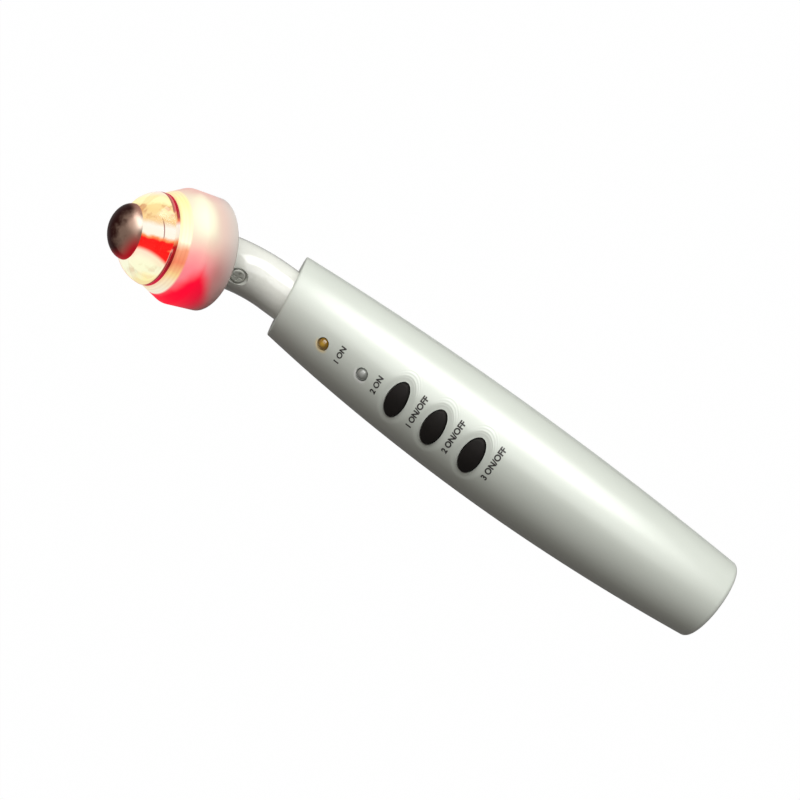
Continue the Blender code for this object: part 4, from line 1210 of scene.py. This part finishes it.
@dataclass
class Controls:
    """Rubber buttons, indicator lamps and the plain printed marks beside them."""

    grip: Grip
    half_x: float = 2.4 * MM
    half_y: float = 4.7 * MM
    flange: float = 0.9 * MM
    flange_thickness: float = 0.8 * MM
    rise: float = 0.5 * MM
    crown: float = 0.25 * MM
    edge: float = 0.45 * MM
    columns: int = 97
    lamp_radius: float = 1.5 * MM
    lamp_flange: float = 1.9 * MM
    lamp_flange_height: float = 1.0 * MM
    lamp_foot_z: float = 19.95 * MM
    lamp_rise: float = 0.6 * MM
    letter_height: float = 1.45 * MM
    letter_depth: float = 0.03 * MM
    letter_weight: float = 0.08 * MM
    capital_share: float = 0.7
    marks: tuple[tuple[str, float, float], ...] = (
        ("1 ON", 20.7 * MM, -0.4 * MM), ("2 ON", 8.6 * MM, -0.2 * MM),
        ("1 ON/OFF", -3.4 * MM, -0.7 * MM), ("2 ON/OFF", -14.0 * MM, -1.2 * MM),
        ("3 ON/OFF", -25.2 * MM, -1.7 * MM))
    rubber: Finish = Grained((0.006, 0.005, 0.004), (0.011, 0.009, 0.008), roughness=0.62,
                             spread=0.16, grain=5.0, relief=0.03, shine=0.2)
    ink: Finish = Grained((0.020, 0.018, 0.016), (0.035, 0.032, 0.030), roughness=0.6, grain=6.0,
                          relief=0.002)

    def button_rows(self) -> list[Triple]:
        """Ovals of a button, from the middle of its underside to the top of its crown.

        Returns:
            Half length along the grip, half width and depth below the skin of each oval.
        """
        wall = self.grip.wall + SEAT_GAP
        flange_x = self.half_x + self.flange
        flange_y = self.half_y + self.flange
        rows = [(flange_x * share, flange_y * share, wall + self.flange_thickness)
                for share in (0.0, 0.3, 0.55, 0.8, 1.0)]
        rows += [(flange_x, flange_y, wall), (self.half_x, self.half_y, wall)]
        rows += [(self.half_x, self.half_y, wall + (self.edge - self.rise - wall) * share)
                 for share in shares(3)]
        for cosine, sine in arc(8, 1):
            loss = self.edge * (1 - cosine)
            rows.append((self.half_x - loss, self.half_y - loss,
                         self.edge - self.rise - self.edge * sine))
        top_x, top_y, _ = rows[-1]
        rows += [(top_x * (1 - share), top_y * (1 - share),
                  -self.rise - self.crown * (1 - (1 - share) ** 2)) for share in shares(10)]
        return rows

    def build_button(self, index: int, x: float, body: Body) -> bpy.types.Object:
        """Make one rubber button with a soft edge and a low crown.

        Args:
            index: Its number.
            x: Place of its centre along the grip.
            body: Body that it rides on.

        Returns:
            The piece.
        """
        rows = self.button_rows()

        def place(row: int, column: int) -> Vector:
            """Find a point on the oval of a row.

            Args:
                row: Number of the row.
                column: Number of the point round the oval.

            Returns:
                The point.
            """
            half_x, half_y, inset = rows[row]
            turn = FULL_TURN * column / (self.columns - 1)
            spot_x = x + half_x * math.cos(turn)
            spot_y = half_y * math.sin(turn)
            return Vector((spot_x, spot_y, self.grip.top_z(spot_x, spot_y, inset)))

        made = Form().sheet(len(rows), self.columns, place).loose(f"rubber_{index}")
        return dress(made, self.rubber, [f"button_{index}"], body)

    def build_lamp(self, name: str, node: str, finish: LampDome) -> bpy.types.Object:
        """Make one round-topped indicator.

        Args:
            name: Its name.
            node: The solid that it stands for.
            finish: Its finish, which holds its place.

        Returns:
            The piece.
        """
        x = finish.centre_x
        top = self.grip.top_z(x, 0) + self.lamp_rise - self.lamp_foot_z
        outline: list[Point] = [(0.0, 0.0), (self.lamp_flange, 0.0),
                                (self.lamp_flange, self.lamp_flange_height),
                                (self.lamp_radius, self.lamp_flange_height)]
        outline += [(self.lamp_radius * cosine, top - self.lamp_radius + self.lamp_radius * sine)
                    for cosine, sine in arc(12)[:-1]]
        outline.append((0.0, top))
        made = Form().lathe(outline, 48, Matrix.Translation((x, 0, self.lamp_foot_z))).loose(name)
        return dress(made, finish, [node])

    def build_mark(self, name: str, words: str, x: float, y: float) -> bpy.types.Object:
        """Print one plain mark on the skin, reading across the grip.

        Args:
            name: Its name.
            words: What it says.
            x: Place of its middle along the grip.
            y: Place of its middle round the grip, from the top.

        Returns:
            The piece.
        """
        curve = bpy.data.curves.new(name, "FONT")
        curve.body = words
        curve.size = self.letter_height / self.capital_share
        curve.align_x = "CENTER"
        curve.align_y = "CENTER"
        curve.extrude = self.letter_depth
        curve.offset = self.letter_weight
        text = put(name, curve)
        mesh = baked_mesh(text)
        bpy.data.objects.remove(text, do_unlink=True)
        bm = bmesh.new()
        bm.from_mesh(mesh)
        bmesh.ops.remove_doubles(bm, verts=bm.verts, dist=WELD)
        bmesh.ops.transform(bm, matrix=Matrix.Rotation(-QUARTER_TURN, 4, "Z"), verts=bm.verts)
        for vert in bm.verts:
            spot_x = x + vert.co.x
            skin = self.grip.radius(spot_x)
            angle = (y + vert.co.y) / skin
            radius = skin + vert.co.z - self.grip.dip(spot_x, skin * math.sin(angle))
            vert.co = Vector((spot_x, radius * math.sin(angle),
                              self.grip.axis_z(spot_x) + radius * math.cos(angle)))
        bm.to_mesh(mesh)
        bm.free()
        return dress(put(name, mesh), self.ink)

    def build(self) -> list[bpy.types.Object]:
        """Build the buttons, lamps and marks.

        Returns:
            The pieces.
        """
        bodies = (Body.KEY_1, Body.KEY_2, Body.KEY_3)
        made = [self.build_button(index, x, body)
                for index, (x, body) in enumerate(zip(self.grip.button_xs, bodies), start=1)]
        amber_x, clear_x = self.grip.lamp_xs
        amber = LampDome((0.16, 0.082, 0.003), (0.36, 0.21, 0.020), 0.28, amber_x, self.lamp_radius)
        clear = LampDome((0.20, 0.21, 0.19), (0.28, 0.29, 0.27), 0.15, clear_x, self.lamp_radius)
        made.append(self.build_lamp("amber_lamp", "indicator_amber", amber))
        made.append(self.build_lamp("clear_lamp", "indicator_clear", clear))
        made += [self.build_mark(f"mark_{index}", words, x, y)
                 for index, (words, x, y) in enumerate(self.marks, start=1)]
        return made


# Neck


@dataclass
class Neck:
    """The bent glossy tube between the grip and the head."""

    start_x: float = 51.3 * MM
    axis_z: float = 11.7 * MM
    bend_radius: float = 16.2 * MM
    tilt: float = math.radians(62)
    radius: float = 7.2 * MM
    wall: float = 2.0 * MM
    flange_x: float = 35.0 * MM
    flange_radius: float = 9.2 * MM
    flange_thickness: float = 2.0 * MM
    inside_length: float = 11.0 * MM
    end_along: float = 3.6 * MM
    end_edge: float = 0.3 * MM
    lock_back: float = 6.1 * MM
    lock_roll: float = math.radians(4)
    lock_hole: float = 1.1 * MM
    recess_radius: float = 2.1 * MM
    recess_depth: float = 1.1 * MM
    recess_edge: float = 0.5 * MM
    gloss: Finish = Grained((0.76, 0.77, 0.71), (0.72, 0.73, 0.67), roughness=0.15, spread=0.06,
                            coat=1.0, grain=1.2, relief=0.012)

    @property
    def bend_length(self) -> float:
        """Length of the bend's centre line."""
        return self.bend_radius * self.tilt

    def spot(self, along: float) -> tuple[Vector, Vector, Vector]:
        """Follow the centre line.

        Args:
            along: Distance along it from the bend's start.

        Returns:
            The point, the line's direction there, and the normal that points up.
        """
        angle = min(max(along / self.bend_radius, 0.0), self.tilt)
        beyond = along - angle * self.bend_radius
        direction = Vector((math.cos(angle), 0, math.sin(angle)))
        point = Vector((self.start_x + self.bend_radius * math.sin(angle), 0,
                        self.axis_z + self.bend_radius * (1 - math.cos(angle))))
        return point + direction * beyond, direction, Vector((-math.sin(angle), 0, math.cos(angle)))

    @staticmethod
    def aimed(point: Vector, direction: Vector) -> Matrix:
        """Frame at a point whose Z axis lies along a direction."""
        return Matrix.Translation(point) @ direction.to_track_quat("Z", "Y").to_matrix().to_4x4()

    def ring(self, along: float, radius: float) -> Matrix:
        """Matrix that puts a unit circle round the centre line."""
        point, direction, _ = self.spot(along)
        return self.aimed(point, direction) @ Matrix.Diagonal((radius, radius, 1, 1))

    def lock_place(self, distance: float) -> Matrix:
        """Find the lock screw's axis.

        Args:
            distance: Distance from the centre line.

        Returns:
            A frame there, with Z pointing outwards.
        """
        point, direction, upward = self.spot(self.bend_length - self.lock_back)
        outward = Matrix.Rotation(-self.lock_roll, 4, direction) @ upward
        return self.aimed(point + outward * distance, outward)

    def build_tube(self) -> bpy.types.Object:
        """Make the solid tube with its flange and its softened end.

        Returns:
            The bare tube.
        """
        flange = self.flange_x - self.start_x
        front = flange + self.flange_thickness
        stop = self.bend_length + self.end_along
        first = front + self.inside_length
        stations = [(flange, self.flange_radius), (front, self.flange_radius), (front, self.radius)]
        stations += [(front + self.inside_length * share, self.radius) for share in shares(6)]
        stations += [(first + (stop - self.end_edge - first) * share, self.radius)
                     for share in shares(64)]
        stations += [(stop - self.end_edge * (1 - sine), self.radius - self.end_edge * (1 - cosine))
                     for cosine, sine in arc(4, 1)]
        return Form().bar([self.ring(*station) for station in stations], 128).loose("neck_tube")

    def build(self) -> list[bpy.types.Object]:
        """Build the tube, bore it and sink the recess of the lock screw.

        Returns:
            The piece.
        """
        made = self.build_tube()
        marks = [self.flange_x - self.start_x - OVERRUN]
        marks += [self.bend_length * share for share in shares(32, 0)]
        marks.append(self.bend_length + self.end_along + OVERRUN)
        bore = [self.ring(along, self.radius - self.wall) for along in marks]
        carve(made, Form().bar(bore, 64).loose("bore"))
        depth, flare, wide = self.recess_depth, self.recess_edge, self.recess_radius
        recess = Form().lathe([(0.0, -self.wall), (self.lock_hole, -self.wall), (self.lock_hole, 0.0),
                               (wide, 0.0), (wide, depth - flare * 2), (wide + flare * 0.3, depth - flare),
                               (wide + flare, depth), (wide + flare, depth + OVERRUN),
                               (0.0, depth + OVERRUN)], 64, self.lock_place(self.radius - depth))
        carve(made, recess.loose("recess"))
        return [dress(made, self.gloss, ["neck"])]


# Head


@dataclass
class Head:
    """Collar, seal, lens, column and dome, measured along the head's axis from the bend's end."""

    neck: Neck
    collar_radius: float = 14.95 * MM
    collar_wall: float = 1.6 * MM
    opening: float = 7.6 * MM
    back: float = 0.9 * MM
    shoulder: float = 3.6 * MM
    shoulder_power: float = 1.35
    corner_along: float = 11.7 * MM
    corner_round: float = 0.7 * MM
    corner_back: float = 0.9 * MM
    front_along: float = 17.2 * MM
    front_radius: float = 11.9 * MM
    front_round: float = 0.5 * MM
    lip_round: float = 0.25 * MM
    lip_depth: float = 1.4 * MM
    seal_low: float = 17.5 * MM
    seal_thickness: float = 0.5 * MM
    seal_width: float = 1.2 * MM
    small_round: float = 0.2 * MM
    rim_radius: float = 11.65 * MM
    rim_along: float = 18.3 * MM
    rim_height: float = 0.4 * MM
    skirt_length: float = 3.0 * MM
    skirt_wall: float = 1.2 * MM
    lens_wall: float = 1.5 * MM
    bulge: float = 0.125
    cap_along: float = 24.5 * MM
    cap_radius: float = 6.9 * MM
    cap_height: float = 4.58 * MM
    cap_edge: float = 0.15 * MM
    cap_seat: float = 1.3 * MM
    cap_hollow: float = 2.3 * MM
    dome_power: float = 1.18
    stem_radius: float = 4.8 * MM
    stem_bore: float = 3.4 * MM
    stem_foot_radius: float = 6.2 * MM
    stem_foot: float = 7.3 * MM
    stem_step: float = 18.6 * MM
    stem_step_round: float = 0.3 * MM
    stem_top: float = 25.5 * MM
    view_up: Triple = (0.529, -0.801, -0.281)
    steps: int = 160

    @property
    def place(self) -> Matrix:
        """Frame at the bend's end with Z along the head's axis."""
        point, _, _ = self.neck.spot(self.neck.bend_length)
        return Matrix.Translation(point) @ Matrix.Rotation(QUARTER_TURN - self.neck.tilt, 4, "Y")

    @property
    def space(self) -> HeadSpace:
        """Directions that the lit finishes are laid out in.

        Returns:
            The head's end of the neck, its axis, the way up and the viewer's side.
        """
        point, axis, _ = self.neck.spot(self.neck.bend_length)
        up = square_to(Vector(self.view_up), axis)
        near = up.cross(axis)
        return HeadSpace(point, axis, up, -near if near.z < 0 else near)

    def turned(self, name: str, outline: Sequence[Point], finish: Finish,
               node: str) -> bpy.types.Object:
        """Lathe an outline about the head's axis and dress it.

        Args:
            name: Name of the piece.
            outline: Its (radius, along) points.
            finish: Its finish.
            node: The solid that it stands for.

        Returns:
            The piece.
        """
        made = Form().lathe(outline, self.steps, self.place).loose(name)
        return dress(made, finish, [node])

    def shoulder_outline(self, radius: float, back: float) -> list[Triple]:
        """Run from the collar's rear opening out to its full radius.

        Args:
            radius: The full radius.
            back: Where the opening lies along the axis.

        Returns:
            The outline.
        """
        points = []
        for cosine, sine in arc(24):
            out = sine ** self.shoulder_power
            behind = max(cosine, 0.0) ** self.shoulder_power
            points.append((self.opening + (radius - self.opening) * out,
                           self.shoulder - (self.shoulder - back) * behind, 0.0))
        return points

    def build_collar(self) -> bpy.types.Object:
        """Make the milky collar.

        Returns:
            The piece.
        """
        lip = self.rim_radius - self.seal_width
        inner = self.collar_radius - self.collar_wall
        outline = self.shoulder_outline(self.collar_radius, self.back)
        outline += [(self.collar_radius, self.corner_along, self.corner_round),
                    (self.front_radius, self.front_along, self.front_round),
                    (lip, self.front_along, self.lip_round),
                    (lip, self.front_along - self.lip_depth, 0.0),
                    (inner, self.corner_along - self.corner_back, 0.0)]
        outline += reversed(self.shoulder_outline(inner, self.back + self.collar_wall))
        return self.turned("milky_collar", rounded(outline, 8),
                           GlowCollar(self.space, self.collar_radius / MM), "collar")

    def build_seal(self) -> bpy.types.Object:
        """Make the red ring under the lens.

        Returns:
            The piece.
        """
        inner = self.rim_radius - self.seal_width
        high = self.seal_low + self.seal_thickness
        outline = rounded([(self.rim_radius, self.seal_low, self.small_round),
                           (self.rim_radius, high, self.small_round),
                           (inner, high, 0.0), (inner, self.seal_low, 0.0)], 4)
        return self.turned("red_ring", outline, GlowSeal(self.space, self.rim_radius / MM),
                           "lens_seal")

    def lens_curve(self, start: Point, stop: Point) -> list[Triple]:
        """Bulge outwards from one point to another.

        Args:
            start: The first point.
            stop: The last point.

        Returns:
            The outline.
        """
        chord = Vector(stop) - Vector(start)
        outward = Vector((chord.y, -chord.x)) * (self.bulge * 4)
        spots = [Vector(start) + chord * share + outward * share * (1 - share)
                 for share in shares(24, 0)]
        return [(spot.x, spot.y, 0.0) for spot in spots]

    def build_lens(self) -> bpy.types.Object:
        """Make the clear lens.

        Returns:
            The piece.
        """
        hole = self.stem_radius + SEAT_GAP
        top = self.cap_along - SEAT_GAP
        skirt = self.rim_radius - self.seal_width - SEAT_GAP
        inner = skirt - self.skirt_wall
        foot = self.rim_along - self.skirt_length
        outline = [(skirt, foot, 0.0), (skirt, self.rim_along, 0.0),
                   (self.rim_radius, self.rim_along, self.small_round)]
        outline += self.lens_curve((self.rim_radius, self.rim_along + self.rim_height),
                                   (self.cap_radius, top))
        outline += [(hole, top, 0.0), (hole, top - self.lens_wall, 0.0)]
        outline += reversed(self.lens_curve((inner, self.rim_along),
                                            (self.cap_radius - self.lens_wall / 2,
                                             top - self.lens_wall)))
        outline.append((inner, foot, 0.0))
        finish = GlowLens(self.space, self.rim_radius / MM, self.rim_along / MM)
        return self.turned("clear_window", rounded(outline, 4), finish, "lens")

    def build_column(self) -> bpy.types.Object:
        """Make the column behind the lens.

        Returns:
            The piece.
        """
        outline = rounded([(self.stem_foot_radius, self.stem_foot, 0.0),
                           (self.stem_foot_radius, self.stem_step, self.stem_step_round),
                           (self.stem_radius, self.stem_step, self.small_round),
                           (self.stem_radius, self.stem_top, self.small_round),
                           (self.stem_bore, self.stem_top, 0.0), (self.stem_bore, self.stem_foot, 0.0)])
        finish = GlowColumn(self.space, self.stem_foot_radius / MM, self.stem_step / MM)
        return self.turned("lit_column", outline, finish, "tip_stem")

    def build_dome(self) -> bpy.types.Object:
        """Make the polished dome.

        Returns:
            The piece.
        """
        inner = self.stem_radius + SEAT_GAP
        seat = self.cap_along + self.cap_seat
        outside = [(self.cap_radius * cosine ** self.dome_power,
                    self.cap_along + self.cap_height * sine) for cosine, sine in arc(32, 1)[:-1]]
        outside.append((0.0, self.cap_along + self.cap_height))
        inside = [(inner * cosine, seat + self.cap_hollow * sine) for cosine, sine in arc(12)[:-1]]
        inside.append((0.0, seat + self.cap_hollow))
        foot = [(self.cap_radius, self.cap_along + self.cap_edge),
                (self.cap_radius - self.cap_edge / 3, self.cap_along + self.cap_edge / 3),
                (self.cap_radius - self.cap_edge, self.cap_along), (inner, self.cap_along)]
        return self.turned("tip_dome", outside[::-1] + foot + inside,
                           DomeSteel(self.space, self.cap_radius / MM, self.cap_along / MM),
                           "tip_cap")

    def build(self) -> list[bpy.types.Object]:
        """Build the whole head."""
        return [self.build_collar(), self.build_seal(), self.build_lens(), self.build_column(),
                self.build_dome()]


# Hidden pieces


@dataclass
class Insides:
    """Finishes for the solids that are kept as they are."""

    nodes: dict[str, bpy.types.Object]
    cell_length: float = 44.5 * MM

    def finish_of(self, name: str) -> Finish:
        """Choose the finish of a kept solid by its name.

        Args:
            name: Name of the solid.

        Returns:
            Its finish.
        """
        plated = Grained((0.56, 0.56, 0.54), (0.44, 0.44, 0.43), roughness=0.26, metallic=1.0,
                         grain=6.0, stretch=(0.3, 2.0, 2.0))
        black = Grained((0.020, 0.020, 0.020), (0.035, 0.034, 0.033), roughness=0.42)
        white = Grained((0.70, 0.70, 0.68), (0.64, 0.64, 0.62), roughness=0.45, grain=2.0)
        choices: dict[str, Finish] = {
            "lead_red": Grained((0.42, 0.010, 0.010), (0.34, 0.008, 0.008), grain=2.0),
            "lead_black": black,
            "tip_lead": Grained((0.55, 0.36, 0.03), (0.47, 0.30, 0.02), grain=2.0),
            "board": BoardResist(),
            "cell_": CellJacket(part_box(name)[0].x, self.cell_length),
            "lock_screw": Grained((0.52, 0.53, 0.48), (0.46, 0.47, 0.42), roughness=0.55),
            "spring": plated, "plate": plated, "screw": plated, "switch": black, "chip": black,
            "coil": Grained((0.05, 0.05, 0.055), (0.08, 0.075, 0.07), roughness=0.6, grain=4.0),
            "heater": Grained((0.62, 0.57, 0.48), (0.54, 0.49, 0.41), roughness=0.7),
            "lamp_": Grained((0.60, 0.02, 0.02), (0.50, 0.015, 0.015), roughness=0.08, coat=0.8,
                             grain=1.0),
        }
        return next((finish for word, finish in choices.items() if word in name), white)

    def build(self) -> list[bpy.types.Object]:
        """Give every shown solid its finish.

        Returns:
            The solids that are shown.
        """
        shown = {name: node for name, node in self.nodes.items() if not node.hide_render}
        for name, node in shown.items():
            node.data.materials.clear()
            node.data.materials.append(self.finish_of(name).material(name))
        return list(shown.values())


# Studio


@dataclass(frozen=True)
class Softbox:
    """A large soft light that hangs beside the part and faces it."""

    name: str
    direction: Triple
    distance: float
    length: float
    width: float
    power: float

    def build(self) -> None:
        """Hang the light, with its long side along the grip."""
        data = bpy.data.lights.new(self.name, "AREA")
        data.shape = "RECTANGLE"
        data.size = self.length
        data.size_y = self.width
        data.energy = self.power
        direction = Vector(self.direction).normalized()
        across = square_to(Vector((1, 0, 0)), direction)
        turn = Matrix((across, direction.cross(across), direction)).transposed().to_4x4()
        put(self.name, data).matrix_world = Matrix.Translation(direction * self.distance) @ turn


@dataclass
class Studio:
    """Floor, light and camera. The floor lies low enough to show the lid when it is off."""

    floor_z: float = -25.6 * MM
    floor_size: float = 3.0
    floor_colour: Colour = (0.16, 0.155, 0.145)
    floor_white: float = 0.997
    mirrored_share: float = 0.15
    camera_place: Triple = (-33.62 * MM, -62.99 * MM, 193.16 * MM)
    camera_forward: Triple = (0.1952, 0.3438, -0.9185)
    camera_up: Triple = (0.5806, -0.7955, -0.1744)
    lens: float = 34.02
    sensor_width: float = 36.0
    clip_start: float = 10.0 * MM
    softboxes: tuple[Softbox, ...] = (
        Softbox("key", (0.07, -0.93, 0.34), 0.5, 0.57, 0.32, 2.1),
        Softbox("fill", (0.02, -0.70, 0.71), 0.6, 0.90, 0.60, 2.95))
    ambient: Colour = (0.060, 0.048, 0.040)

    def seen(self, graph: Graph) -> Wire:
        """Mask the rays that see the background: straight, refracted or, in part, reflected.

        Args:
            graph: Nodes of a material or world.

        Returns:
            The mask.
        """
        light = graph.node("ShaderNodeLightPath", output="Is Camera Ray")
        mirrored = light.twin("Is Glossy Ray") * self.mirrored_share
        return light.most(mirrored).most(light.twin("Is Transmission Ray"))

    def build_floor(self) -> None:
        """Lay a plain pale floor that shows as white and keeps a little of the shadow."""
        bm = bmesh.new()
        bmesh.ops.create_grid(bm, x_segments=1, y_segments=1, size=self.floor_size / 2)
        mesh = bpy.data.meshes.new("floor")
        bm.to_mesh(mesh)
        bm.free()
        floor = put("floor", mesh)
        floor.location.z = self.floor_z
        material = bpy.data.materials.new("floor")
        graph = Graph(material)
        graph.principled(Base_Color=self.floor_colour, Roughness=0.9)
        white = graph.node("ShaderNodeEmission", {}, {"Color": WHITE, "Strength": 1.0})
        mixed = graph.node("ShaderNodeMixShader", {}, {
            0: self.seen(graph) * self.floor_white, 1: graph.shader.outputs[0], 2: white})
        graph.feed(graph.tree.nodes["Material Output"].inputs["Surface"], mixed)
        mesh.materials.append(material)

    def build_world(self) -> None:
        """Plain dim surroundings that show as white to the camera."""
        world = bpy.data.worlds.new("studio")
        bpy.context.scene.world = world
        graph = Graph(world)
        shade = graph.mixed(self.seen(graph), self.ambient, WHITE)
        graph.feed(graph.tree.nodes["Background"].inputs["Color"], shade)

    def build_camera(self) -> None:
        """Set the camera where the photograph was taken from."""
        data = bpy.data.cameras.new("camera")
        data.lens = self.lens
        data.sensor_width = self.sensor_width
        data.clip_start = self.clip_start
        camera = put("camera", data)
        back = -Vector(self.camera_forward).normalized()
        up = square_to(Vector(self.camera_up), back)
        turn = Matrix((up.cross(back), up, back)).transposed().to_4x4()
        camera.matrix_world = Matrix.Translation(self.camera_place) @ turn
        bpy.context.scene.camera = camera

    def build(self) -> None:
        """Build the whole studio."""
        self.build_floor()
        self.build_world()
        for softbox in self.softboxes:
            softbox.build()
        self.build_camera()
        bpy.context.scene.view_settings.view_transform = "Standard"


def main() -> None:
    """Build the pieces, dress the kept solids, report each piece and set up the studio."""
    logging.basicConfig(level=logging.INFO, format="%(message)s")
    grip = Grip()
    neck = Neck(axis_z=grip.neck_z)
    for assembly in (grip, Controls(grip), neck, Head(neck), Insides(frame["nodes"])):
        for piece in assembly.build():
            log.info("%s: %s, %d faces", type(assembly).__name__, piece.name,
                     len(piece.data.polygons))
    Studio().build()


if __name__ == "__main__":
    main()
